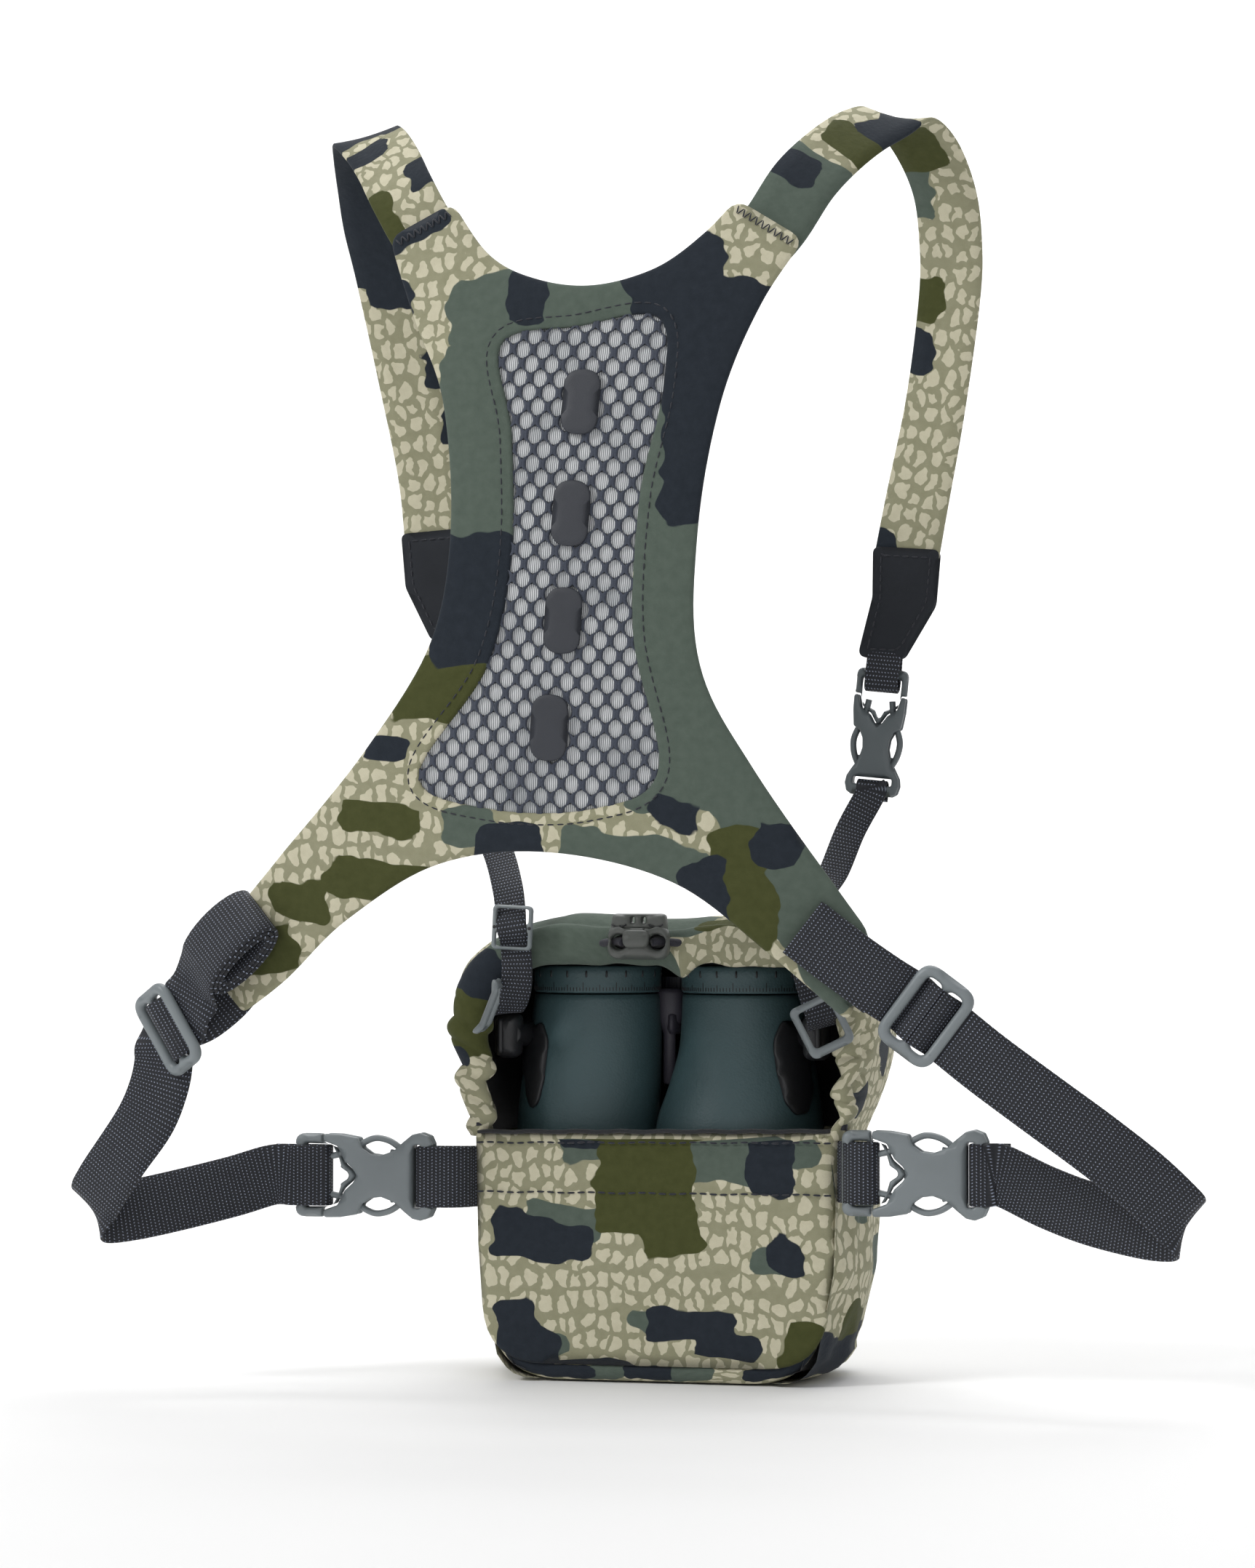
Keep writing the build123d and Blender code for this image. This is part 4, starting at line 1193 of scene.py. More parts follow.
def make_lock_button():
    def grip(u, v, dist):
        return -1.1 * math.exp(-((v - 183.0) / 0.9) ** 2) * min(1, dist / 1.6)

    cap = plate("cord_lock_cap", lock_outline(5.4, 177.8, 5.6, 185.2, [3.4, 3.4, 3.0, 3.0]), [],
                lock_face(-58.0), 4.0, 1.7, LOCK, 1.2, crown=0.6, crown_reach=2.0, relief=grip)
    stem = plate("stem", lock_outline(3.1, 178.3, 3.1, 186, 1.0, 3), [], lock_face(-54.0), 6.0, 0.6, LOCK,
                 2.0)
    cap = join([cap, stem], "cord_lock_cap")
    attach(cap, "cord_lock_button")
    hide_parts("cord_lock_button")


def make_lock_spring():
    """A coil of three turns where the CAD has the spring."""
    turns, radius, wire = 3, 1.7, 0.35
    low, high = (corner / MM for corner in map(Vector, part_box("cord_lock_spring")))
    axis_x, axis_y = (low.x + high.x) / 2, (low.y + high.y) / 2
    rise = (high.z - low.z - 2 * wire) / turns
    coil = [Vector((axis_x + radius * math.cos(2 * math.pi * t), axis_y + radius * math.sin(2 * math.pi * t),
                    low.z + wire + rise * t)) for t in np.linspace(0, turns, 16 * turns + 1)]
    spring = sweep("cord_lock_coil", coil, circle(wire, 8), STEEL)
    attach(spring, "hood")
    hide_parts("cord_lock_spring")
    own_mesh(spring)


# ---- yoke ---------------------------------------------------------------------------
NECK = [(-66, 161), (-47, 139.5), (-26, 130.5), (-3, 129), (21, 137), (38, 151), (50, 166)]
RIGHT_FLANK = [(78, 151), (64, 124), (52, 84), (47.5, 30), (52, -18), (76, -58), (123, -118)]
ARMPIT = [(116, -153), (84, -128), (46, -103), (-3, -94.5), (-49, -102), (-88, -127), (-117, -155),
          (-148, -178)]
LEFT_FLANK = [(-146, -137), (-119, -105), (-82, -59), (-57, -15), (-52, 30), (-60, 80), (-76, 113),
              (-91, 146)]
WINDOW = [(-8, 112), (24, 117), (29, 90), (23.5, 45), (25, -8), (38, -60), (12, -76.5), (-30, -79),
          (-59, -68), (-33, -24), (-26, 20), (-30, 68), (-38, 104)]
YOKE_X, YOKE_Z = -10.0, 310.0
YOKE_TILT = math.radians(4.0)
YOKE_RADIUS = 700.0


YOKE_CENTRE = Vector((-2, -140 + YOKE_RADIUS, YOKE_Z))      # the yoke bends over a ball round this point
YOKE_CORNER = 6.0
SEAM_INSET = 4.6           # from the window's edge to the stitching round it


def yoke_place(t, s, depth):
    """A point at a depth behind the yoke's wearer-side face."""
    x = YOKE_X + t * math.cos(YOKE_TILT) + s * math.sin(YOKE_TILT)
    z = YOKE_Z - t * math.sin(YOKE_TILT) + s * math.cos(YOKE_TILT)
    fall = math.sqrt((YOKE_RADIUS - depth) ** 2 - (x - YOKE_CENTRE.x) ** 2 - (z - YOKE_Z) ** 2)
    return Vector((x, YOKE_CENTRE.y - fall, z))


def yoke_normal(p):
    return (Vector(p) - YOKE_CENTRE).normalized()


def cloth_place(u, v, w):
    """A point of the yoke's cloth, which ripples a little; w is the height above its middle."""
    ripple = 0.6 * noise.noise(Vector((u * 0.035, v * 0.03, 1.0)))
    ripple += 0.25 * noise.noise(Vector((u * 0.1, v * 0.05, 4.0)))
    return yoke_place(u, v, 1.5 - w - ripple)


def soft_corner(before, tip, after, reach):
    """Points round one corner of an outline, from reach before its tip to reach after it."""
    start = tip + (before - tip).normalized() * reach
    end = tip + (after - tip).normalized() * reach
    return [(1 - t) ** 2 * start + 2 * t * (1 - t) * tip + t * t * end for t in (0, 0.25, 0.5, 0.75, 1)]


def yoke_outline():
    """Four smooth edges, joined by the straight ends of the arms."""
    edges = [spline(curve, 10) for curve in (NECK, RIGHT_FLANK, ARMPIT, LEFT_FLANK)]
    loop = []
    for curve, follow in zip(edges, edges[1:] + edges[:1]):
        a, b = curve[-1], follow[0]
        reach = min(YOKE_CORNER, (b - a).length * 0.25)
        loop += [p for p in curve[:-1] if (p - a).length > reach and (p - curve[0]).length > reach]
        loop += soft_corner(curve[-3], a, b, reach) + soft_corner(a, b, follow[2], reach)
    return loop


def offset_loop(loop, distance):
    """A closed 2D loop moved outwards."""
    count = len(loop)
    area = sum(loop[i - 1].x * loop[i].y - loop[i].x * loop[i - 1].y for i in range(count))
    sign = -1 if area > 0 else 1
    out = []
    for i in range(count):
        along = (loop[(i + 1) % count] - loop[i - 1]).normalized()
        out.append(loop[i] + Vector((-along.y, along.x)) * sign * distance)
    return out


YOKE_PATCHES = [("grey", -44, 118, 17, 15, 10), ("dark", -29, 124, 8, 12, 0), ("grey", -8, 124, 22, 17, 0),
                ("grey", 16, 122, 12, 12, 0), ("dark", 30, 132, 20, 18, 24), ("dark", 46, 105, 22, 30, 8),
                ("dark", 50, 65, 20, 30, 6), ("grey", 34, 92, 11, 26, 0), ("grey", 36, 30, 14, 46, 0),
                ("grey", 40, -30, 18, 46, 4), ("grey", -44, 70, 16, 34, 6), ("grey", -42, 38, 16, 26, 0),
                ("grey", 66, -62, 14, 34, 36), ("dark", -40, 2, 18, 26, 0), ("grey", -36, -22, 8, 10, 0),
                ("olive", -52, -33, 22, 13, 8), ("dark", -74, -58, 9, 4, 0), ("dark", -68, 84, 6, 9, 20),
                ("olive", -74, -86, 18, 6, -4), ("olive", -66, -112, 30, 9, -6),
                ("dark", -20, -99, 14, 14, 0), ("olive", -108, -120, 12, 8, 0), ("grey", -38, -86, 12, 8, 0),
                ("grey", 30, -96, 30, 10, -6), ("dark", 46, -76, 10, 6, -10), ("grey", 92, -86, 24, 16, 40),
                ("dark", 60, -112, 9, 20, 8), ("olive", 74, -104, 11, 26, 10), ("dark", 86, -86, 9, 10, 0),
                ("grey", 108, -124, 16, 24, 38), ("grey", 100, -104, 17, 15, 38),
                ("dark", -79, 149, 14, 5, 28), ("dark", -84, 122, 8, 6, -30),
                ("olive", -122, -142, 14, 8, 30), ("dark", 62, 118, 7, 12, 0)]


def bartack(a, b):
    """A zigzag row just inside an arm's end, which runs from a to b."""
    a, b = Vector(a), Vector(b)
    inward = Vector((b.y - a.y, a.x - b.x)).normalized() * 3.8
    row = [cloth_place(*(a.lerp(b, 0.06 + 0.88 * k / 20) + inward), 2.1) for k in range(21)]
    return stitches("tack", row, yoke_normal, length=1.15, gap=0.3, radius=0.3, zigzag=1.6)


def make_yoke():
    window = resample(spline(WINDOW, 12, True), 3.0, True)
    seam = offset_loop(window, SEAM_INSET)
    seam_points = np.array([[p.x, p.y] for p in seam])

    def groove(u, v, dist):
        gap = np.hypot(seam_points[:, 0] - u, seam_points[:, 1] - v).min()
        return -0.45 * math.exp(-(gap / 1.3) ** 2)

    panel = plate("yoke_cloth", yoke_outline(), [window], cloth_place, 3.0, 1.5, CAMO, 4.5, crown=0.5,
                  crown_reach=6, relief=groove)
    paint(panel, YOKE_PATCHES)
    line = [cloth_place(p.x, p.y, 1.65) for p in seam]
    stitching = stitches("seam", line, yoke_normal, length=2.7, gap=1.3, radius=0.3, closed=True)
    panel = join([panel, stitching, bartack((-90, 146), (-66, 160.5)), bartack((51, 166), (77.5, 151.5))],
                 "yoke_cloth")
    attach(panel, "harness")
    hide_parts("yoke_panel")
    make_net(window)
    make_window_backing(window)
    make_pads()


CELL_WIDE, CELL_TALL = 8.2, 5.65           # pitch of the net's holes
HOLE_HALF = (2.8, 3.55)
CELL_SIDES = 18
# (share of the way from the hole to the cell's rim, depth), round a thread's section
CELL_LEVELS = ((0.0, 1.9), (0.0, 1.15), (0.35, 0.72), (0.75, 0.62), (1.0, 0.7), (1.0, 1.9))
HEXAGON = [(CELL_WIDE * a, CELL_TALL * b) for a, b in
           ((-0.5, -0.36), (0, -0.66), (0.5, -0.36), (0.5, 0.36), (0, 0.66), (-0.5, 0.36))]


def cell_rim(angle):
    """Where a direction from a cell's middle meets its hexagon."""
    cell = Vector((math.cos(angle), math.sin(angle)))
    best = 1e9
    for (x1, y1), (x2, y2) in zip(HEXAGON, HEXAGON[1:] + HEXAGON[:1]):
        dx, dy = x2 - x1, y2 - y1
        det = cell.x * dy - cell.y * dx
        if abs(det) < 1e-9:
            continue
        r = (x1 * dy - y1 * dx) / det
        q = (x1 * cell.y - y1 * cell.x) / det
        if r > 0 and -1e-6 <= q <= 1 + 1e-6:
            best = min(best, r)
    return cell * best


def net_cells(reach):
    """Middles of the net's staggered cells inside a loop."""
    cells = [(-70.0 + CELL_WIDE * (col + row % 2 / 2), -90.0 + CELL_TALL * row)
             for row in range(39) for col in range(15)]
    return [cell for cell, ok in zip(cells, inside(np.array(cells), reach)) if ok]


def make_net(window):
    """The window's open net."""
    angles = [2 * math.pi * k / CELL_SIDES for k in range(CELL_SIDES)]
    rims = [cell_rim(a) for a in angles]
    verts, faces, uvs = [], [], []
    for t, s in net_cells(offset_loop(window, 3.4)):
        faces += tube_faces(len(CELL_LEVELS), CELL_SIDES, len(verts), caps=False)
        lean = 0.25 * noise.noise(Vector((t * 0.08, s * 0.08, 0)))
        hole = [Vector((HOLE_HALF[0] * math.cos(a) + lean, HOLE_HALF[1] * math.sin(a))) for a in angles]
        for share, depth in CELL_LEVELS:
            for start, rim in zip(hole, rims):
                spot = start.lerp(rim, share)
                verts.append(yoke_place(t + spot.x, s + spot.y, depth))
                uvs.append((t + spot.x, s + spot.y))
    mesh = to_object("yoke_mesh_net", verts, faces, uvs, MESH_THREAD)
    apply_modifier(mesh, "WELD", merge_threshold=0.00002)
    fix_normals(mesh)
    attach(mesh, "harness")
    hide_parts("yoke_mesh")


def make_window_backing(window):
    back = plate("yoke_backing", offset_loop(window, 2.5), [], lambda u, v, w: yoke_place(u, v, 2.4 - w), 0.8,
                 0.3, RIBBED, 6.0)
    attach(back, "harness")
    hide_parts("yoke_mesh_backing")


def make_pads():
    pads = [plate("pad", rectangle(7.5, 13, 7.4, 8, t, s), [], lambda u, v, w: yoke_place(u, v, -w), 1.8, 0.7,
                  RUBBER, 3.0) for t, s in ((-3, 82), (-3, 38), (-3, -4), (-6, -46))]
    pads = join(pads, "yoke_rubber_pads")
    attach(pads, "harness")
    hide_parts("yoke_pads")


# ---- straps -------------------------------------------------------------------------
RIGHT_SHOULDER = [((56, -114.5, 452), (.85, 0, -.53)), ((66, -114, 462), (.85, 0, -.53)),
                  ((76, -104, 481), (.84, 0, -.5)), ((87, -90, 496), (.75, -.2, -.6)),
                  ((97, -76, 506), (.8, -.2, -.5)), ((106, -61, 511), (.97, 0, -.22)),
                  ((114.5, -46, 503), (.99, -.1, .02)), ((120, -31, 487), (.98, -.16, -.03)),
                  ((121, -20, 468), (.98, -.17, -.06)), ((119.5, -13, 446), (.97, -.22, -.06)),
                  ((113, -8.5, 403), (.95, -.25, -.06)), ((104.5, -5.5, 362), (.98, -.1, -.12)),
                  ((99.5, -5, 336), (.98, 0, -.16))]
LEFT_SHOULDER = [((-66, -113.5, 450), (.92, 0, .39)), ((-78, -111.3, 465), (.92, 0, .39)),
                 ((-88, -106, 481), (.94, 0, .33)), ((-98, -93, 496), (.96, 0, .28)),
                 ((-108, -79, 507), (.96, 0, .27)), ((-115.5, -66, 511), (.97, 0, .22)),
                 ((-119.5, -52, 506), (.99, 0, .12)), ((-122.5, -37, 495), (1, 0, .02)),
                 ((-123.5, -25, 480), (1, 0, -.03)), ((-121, -14.5, 460), (1, 0, -.05)),
                 ((-114, -7.5, 422), (1, 0, -.05)), ((-105.5, -5.5, 380), (1, 0, 0)),
                 ((-102, -5, 348), (.99, 0, .12))]
RIGHT_SIDE = [((150, -114.5, 133.5), (-.56, 0, -.83)), ((171, -112.5, 118), (-.55, -.08, -.83)),
              ((190, -110, 104), (-.5, -.13, -.86)), ((207, -104, 90), (-.45, -.1, -.88)),
              ((219, -99, 78), (-.48, 0, -.87)), ((222.5, -94, 72.5), (-.45, 0, -.89)),
              ((219, -89, 70), (-.38, 0, -.92)), ((207, -83.5, 70), (-.24, 0, -.97)),
              ((184, -72, 74), (-.12, 0, -.99)), ((165, -61, 79.5), (-.08, 0, -.99))]
LEFT_SIDE = [((-189.3, -102.6, 132), (.64, 0, -.77)), ((-191.5, -102.6, 121), (.86, 0, -.5)),
             ((-197, -102.8, 108), (.97, 0, -.26)),
             ((-208, -103.5, 92), (.9, -.15, -.39)), ((-217, -100.5, 80), (.75, -.1, -.65)),
             ((-222, -96, 72.5), (.62, 0, -.78)), ((-220, -90, 69), (.5, 0, -.85)),
             ((-209, -84, 70.0), (.32, 0, -.95)), ((-193, -74, 73.5), (.22, 0, -.98)),
             ((-174, -60, 78.5), (.12, 0, -1))]
RIGHT_TAPE = [((78, -14, 226), (.98, 0, -.18)), ((73, -28, 208), (.99, 0, -.1)), ((69, -44, 198), (1, 0, 0)),
              ((67.3, -52.0, 192.5), (1, 0, .02)), ((66.6, -55.6, 186), (1, 0, .05)),
              ((66, -52.2, 179.5), (1, 0, .1)), ((67, -51.5, 169), (.97, 0, .2)),
              ((70, -51, 158), (.93, .1, .3)), ((72, -48, 150), (.93, .1, .35)),
              ((71, -40, 146), (.93, .1, .3))]
LEFT_TAPE = [((-79, -17, 233), (.98, 0, .15)), ((-67.5, -32, 217), (1, 0, 0)), ((-60, -46, 203), (1, 0, 0)),
             ((-57, -52.4, 193), (1, 0, .05)), ((-55.6, -56.2, 186), (1, 0, .05)),
             ((-54.8, -52.6, 179), (1, 0, .08)), ((-54.5, -51, 168), (.97, .1, .1)),
             ((-56, -48, 159), (.92, .3, .1)), ((-59.5, -43.5, 152), (.85, .5, .1)),
             ((-63.5, -40.5, 151), (.8, .6, .1))]


RIGHT_SLIDER = ((125.5, -116.3, 152.5), (.79, .05, -.61), (-.6, 0, -.8))
LEFT_SLIDER = ((-184.5, -111.0, 145), (.6, -.62, .5), (.5, 0, -.86))


DOWN = (0, 0, -1)


def unit(v):
    return Vector(v).normalized()


def slider_frame(centre, along, across):
    """place(u, v, w) for a slider: u along the strap, v across it, w towards the wearer's side."""
    across = unit(across)
    along = Vector(along)
    along = (along - across * along.dot(across)).normalized()
    out = along.cross(across)
    if out.y > 0:
        out = -out

    def place(u, v, w):
        return Vector(centre) + along * u + across * v + out * w
    return place


def carried(points, across):
    """Strap stations that share one width direction."""
    return [(p, across) for p in points]


def fold(place, spots, across=DOWN):
    """Strap stations from a buckle's (X, W) spots."""
    return carried([place(x, 0, w) for x, w in spots], across)


def threaded(centre, along, across):
    """Strap stations that dip behind a slider's rails and ride over its middle bar."""
    place = slider_frame(centre, along, across)
    spots = ((-15, 0.2), (-9.2, -2.7), (-3.6, 1.4), (0, 2.7), (3.6, 1.4), (9.2, -2.7), (15, 0.2))
    return fold(place, spots, unit(across))


def buckle_frame(origin, x_dir, length, width, thick):
    """place(X, Y, W) for a buckle: X from plug to socket, W towards the wearer's side."""
    x_dir, z_dir = unit(x_dir), Vector((0, -1, 0))
    y_dir = z_dir.cross(x_dir)
    kx, ky, kw = length / 60, width / 36, thick / 9

    def place(x, y, w):
        return Vector(origin) + x_dir * x * kx + y_dir * y * ky + z_dir * w * kw
    return place


BUCKLES = {"left_side": buckle_frame((-150.5, -46.5, 83), (1, 0, 0), 60, 36, 9),
           "right_side": buckle_frame((80, -46.5, 87), (1, 0, 0), 60, 36, 9),
           "left_top": buckle_frame((-94, -5, 303), (.1, 0, -1), 53, 22.5, 7.5),
           "right_top": buckle_frame((90.5, -5, 293), (-.1, 0, -1), 53, 22.5, 7.5)}

MALE_EDGE = [(0, 17.4), (12.1, 17.4), (12.1, 13.6), (18.0, 11.5), (21.2, 5.5), (24.6, 2.5), (26.6, 0)]
MALE_HOLE = [(4.6, 13.1), (15.6, 12.9), (18.0, 8.6), (19.6, 3.2), (22.4, 1.3), (23.1, 0)]
FEMALE_EDGE = [(27.3, 0), (25.2, 3.1), (21.9, 6.1), (18.7, 12.2), (12.8, 14.3), (12.8, 17.4), (20, 17.2),
               (27.6, 15.9), (29.5, 11.6), (33, 9.2), (37.5, 8.6), (43, 10.6), (47.5, 14.6), (51, 17.4),
               (54.5, 18.2), (58.2, 16.8), (59.7, 13.5)]
BLOCK_EDGE = [(46.8, 6.5), (48.5, 14.6), (51, 16.6), (54.5, 17.2), (57.4, 16.2), (58.7, 13)]
RAIL_EDGE = [(13.4, 14.6), (19, 14.6), (26.5, 13.8), (27.2, 15.3), (20, 16.6), (13.4, 16.8)]
PRONG = ((14.8, 7.8), (20, 9.0), (26, 11.2), (30, 14.0), (34.5, 15.6), (39.5, 14.8), (43.5, 12.6),
         (45.8, 10.2), (45.0, 9.2), (41, 9.8))


def mirrored(points):
    """A closed outline from its upper half, given from one end to the other."""
    return points + [(x, -y) for x, y in reversed(points) if y > 0]


def make_plug(name, body, material):
    place = BUCKLES[name]
    frame = plate(name + "_plug_frame", rounded(mirrored(MALE_EDGE), [4.2, 1] + [1.2] * 9 + [1, 4.2], 5),
                  [rounded(mirrored(MALE_HOLE), 1.3, 4)], place, 7.0, 1.6, material, 3.0)
    tongue_outline = rounded([(25.4, 2.4), (42, 2.2), (42, -2.2), (25.4, -2.4)], 0.8, 3)
    tongue = plate("tongue", tongue_outline, [], place, 3.2, 0.8, material, 3.0)
    frame = join([frame, tongue], name + "_plug_frame")
    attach(frame, body)
    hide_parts(name + "_male")


def make_socket(name, body, material):
    """Two shells with a block and two rails between them."""
    place = BUCKLES[name]
    outline = rounded(mirrored(FEMALE_EDGE), [0.8, 1.2, 1.2, 1.5, 1, 1.5, 6] + [1.5] * 30, 4)
    loop = rounded([(51.2, 13.1), (54.6, 13.1), (54.6, -13.1), (51.2, -13.1)], 1.2, 4)
    parts = [plate("shell", outline, [loop], lambda x, y, w, s=side: place(x, y, s * 3.1 + w), 2.9, 1.2,
                   material, 3.0, crown=0.25, crown_reach=4) for side in (1, -1)]
    block = rounded(mirrored(BLOCK_EDGE), 1.0, 3)
    rails = [rounded([(x, side * y) for x, y in RAIL_EDGE], 0.5, 2) for side in (1, -1)]
    parts.append(plate("block", block, [loop], place, 4.6, 0.4, material, 3.0))
    parts += [plate("rail", rail, [], place, 4.6, 0.4, material, 3.0) for rail in rails]
    socket = join(parts, name + "_socket_shell")
    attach(socket, body)
    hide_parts(name + "_female")


def make_prongs(name, material):
    place = BUCKLES[name]
    for letter, side in (("a", 1), ("b", -1)):
        path = spline([place(x, side * y, 0) for x, y in PRONG], 6)
        prong = sweep(name + "_arm_" + letter, path, oval(1.35, 2.0, 12), material, up=(0, -1, 0))
        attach(prong, f"{name}_prong_{letter}")
        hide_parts(f"{name}_prong_{letter}")


def make_buckle(name, male_body, female_body, material):
    make_plug(name, male_body, material)
    make_socket(name, female_body, material)
    make_prongs(name, material)


WIDE, LOOP_WIDE, NARROW, SHOULDER_WIDE = 25, 14, 12.7, 27
WEB_THICK, TAPE_THICK, SHOULDER_THICK = 1.7, 1.4, 2.2
RIGHT_SHOULDER_PATCHES = [("grey", 0, 18, 30, 34, 0), ("dark", -6, 40, 10, 8, 0), ("olive", 3, 66, 12, 9, 0),
                          ("dark", 8, 86, 12, 13, 0), ("olive", -4, 118, 12, 12, 0),
                          ("grey", -12, 140, 8, 14, 0), ("olive", -10, 190, 8, 12, 0),
                          ("dark", -11, 208, 7, 11, 0), ("dark", -12, 296, 6, 10, 0)]
# the wide dark patch at 130 darkens the left strap across its whole width over its crest and the top of its
# far half
LEFT_SHOULDER_PATCHES = [("dark", 11, 44, 7, 9, 0), ("olive", -12, 30, 7, 16, 0), ("dark", -10, 74, 14, 6, 0),
                         ("dark", 0, 130, 30, 46, 0), ("dark", 4, 178, 16, 8, 0), ("dark", 13, 215, 5, 8, 0),
                         ("dark", 13, 240, 4, 7, 0)]


def make_shoulders():
    right = ribbon("right_shoulder_web", RIGHT_SHOULDER, SHOULDER_WIDE, SHOULDER_THICK, CAMO)
    paint(right, RIGHT_SHOULDER_PATCHES)
    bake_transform(right)
    left = ribbon("left_shoulder_web", LEFT_SHOULDER, SHOULDER_WIDE, SHOULDER_THICK, CAMO)
    paint(left, LEFT_SHOULDER_PATCHES)
    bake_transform(left)
    for piece, node in ((right, "right_shoulder_strap"), (left, "left_shoulder_strap")):
        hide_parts(node)


def make_right_side_strap():
    bend = fold(BUCKLES["right_side"], ((66, 4.6), (60, 4.5), (55.5, 4.3), (53.4, 3.4), (52.7, 0),
                                        (53.4, -3.4), (55.5, -4.3), (60, -4.5), (68, -4.6)))
    right = ribbon("right_side_web", threaded(*RIGHT_SLIDER)[3:] + RIGHT_SIDE + bend, WIDE, WEB_THICK,
                   WEBBING)
    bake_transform(right)
    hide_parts("right_side_strap")


def make_left_side_strap():
    bend = fold(BUCKLES["left_side"], ((-9, 4.8), (0, 4.6), (10, 4.5), (13.6, 3.6), (14.8, 0), (13.6, -3.6),
                                       (9, -4.5), (0, -4.6), (-10, -4.2)))
    left = ribbon("left_side_web", threaded(*LEFT_SLIDER)[5:0:-1] + LEFT_SIDE + bend, WIDE, WEB_THICK,
                  WEBBING)
    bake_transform(left)
    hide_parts("left_side_strap")


def make_yoke_ends():
    """The short webs sewn to the yoke's lower arms, which hold the side sliders."""
    across = (-.6, 0, -.8)
    end = carried([(79, -127.6, 187), (95, -123.8, 174.5), (108, -119.6, 165)], across)
    right = ribbon("right_end_web", end + threaded(*RIGHT_SLIDER)[1:4], WIDE, 1.9, WEBBING, phase=4)
    lap = ribbon("lap", carried([(80.5, -125.9, 185.8), (95, -122.0, 174.3), (109, -118.4, 163.5)], across),
                 WIDE, WEB_THICK, WEBBING)
    left_points = [(-152.5, -99.5, 174.5), (-157, -101.0, 169), (-163, -104.8, 160), (-171, -109.5, 152.5),
                   (-177.5, -112.0, 149.4), (-184, -112.0, 145.6)]
    left = ribbon("left_end_web", carried(left_points, (.5, 0, -.86)), WIDE, WEB_THICK, WEBBING)
    ends = join([right, lap, left], "yoke_end_webs")
    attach(ends, "harness")
    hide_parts("yoke_webbing_ends")


def make_tapes():
    """The narrow webs from the small buckles down to the binocular's lugs."""
    for side, stations, lean in (("right", RIGHT_TAPE, -0.1), ("left", LEFT_TAPE, 0.1)):
        place = BUCKLES[side + "_top"]
        lead = fold(place, ((62, -4.2), (58, -4.3), (55.4, -3.8), (53.6, -2.4), (53.0, 0), (53.6, 2.4),
                            (55.4, 3.8), (59, 4.3)), (1, 0, lean))
        tape = ribbon(side + "_lower_web", lead + stations, NARROW, TAPE_THICK, WEBBING)
        top = place(60, 0, 0)
        low = Vector(stations[3][0])
        tuple(c * MM for c in top)
        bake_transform(tape)
        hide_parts(side + "_lower_tape")


ROLL_FACE = Vector((-147, -126, 172.4))
ROLL_LONG = Vector((-.69, 0, -.72)).normalized()
ROLL_AXIS = Vector((-.70, .46, .55)).normalized()
ROLL_TURNS, TURN_STEPS, ROLL_STEP = 3.1, 16, 2.1       # turns, points in each, how much smaller each is


def make_roll():
    """The spare strap, wound into a flat open roll beside the slider."""
    axis = (ROLL_AXIS - ROLL_LONG * ROLL_AXIS.dot(ROLL_LONG)).normalized()
    up = axis.cross(ROLL_LONG)
    if up.y > 0:
        up = -up
    middle = ROLL_FACE + axis * 12.5
    lead = [(c, -a) for c, a in threaded(*LEFT_SLIDER)[4:6]]
    lead += [((-173.6, -118.4, 156.0), (-.6, .1, .79)), ((-170.8, -118.6, 161.5), (-.68, .22, .68))]
    winding = []
    for k in range(1, int(ROLL_TURNS * TURN_STEPS) + 1):
        a = 2 * math.pi * k / TURN_STEPS
        shrink = ROLL_STEP * k / TURN_STEPS
        winding.append(middle + ROLL_LONG * (18.8 - shrink) * math.cos(a) + up * (9.4 - shrink) * math.sin(a))
    roll = ribbon("rolled_strap_tail", lead + carried(winding, axis), WIDE, WEB_THICK, WEBBING, steps=5)
    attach(roll, "harness")
    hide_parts("left_strap_roll")


LEFT_CHEST = ((76, -8.2), (70, -6.0), (62, -4.8), (56, -4.4), (53.6, -3.2), (52.9, 0), (53.6, 3.2), (56, 4.4),
              (62, 4.4), (68.5, 3.0), (73, -0.6), (75.2, -5.0), (79, -8.6))
RIGHT_CHEST = ((0.5, -8.0), (4, -5.4), (10, -4.4), (13.4, -3.2), (14.6, 0), (13.4, 3.2), (10, 4.4),
               (5.5, 4.0), (1.6, 0.8), (-0.6, -4.6), (-4, -9.6))
TOP_LOOP = ((-10, -1.2), (-4, -3.6), (2, -4.4), (6, -4.4), (9, -3.4), (10.2, 0), (9, 3.4), (6, 4.4), (2, 4.4),
            (-4, 3.6), (-10, 1.2))


def make_chest_tabs():
    for side, spots, phase in (("left", LEFT_CHEST, 2), ("right", RIGHT_CHEST, 5)):
        web = ribbon(side + "_chest_web", fold(BUCKLES[side + "_side"], spots), WIDE, WEB_THICK, WEBBING,
                     phase=phase)
        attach(web, "harness")
        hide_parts(side + "_chest_tab")


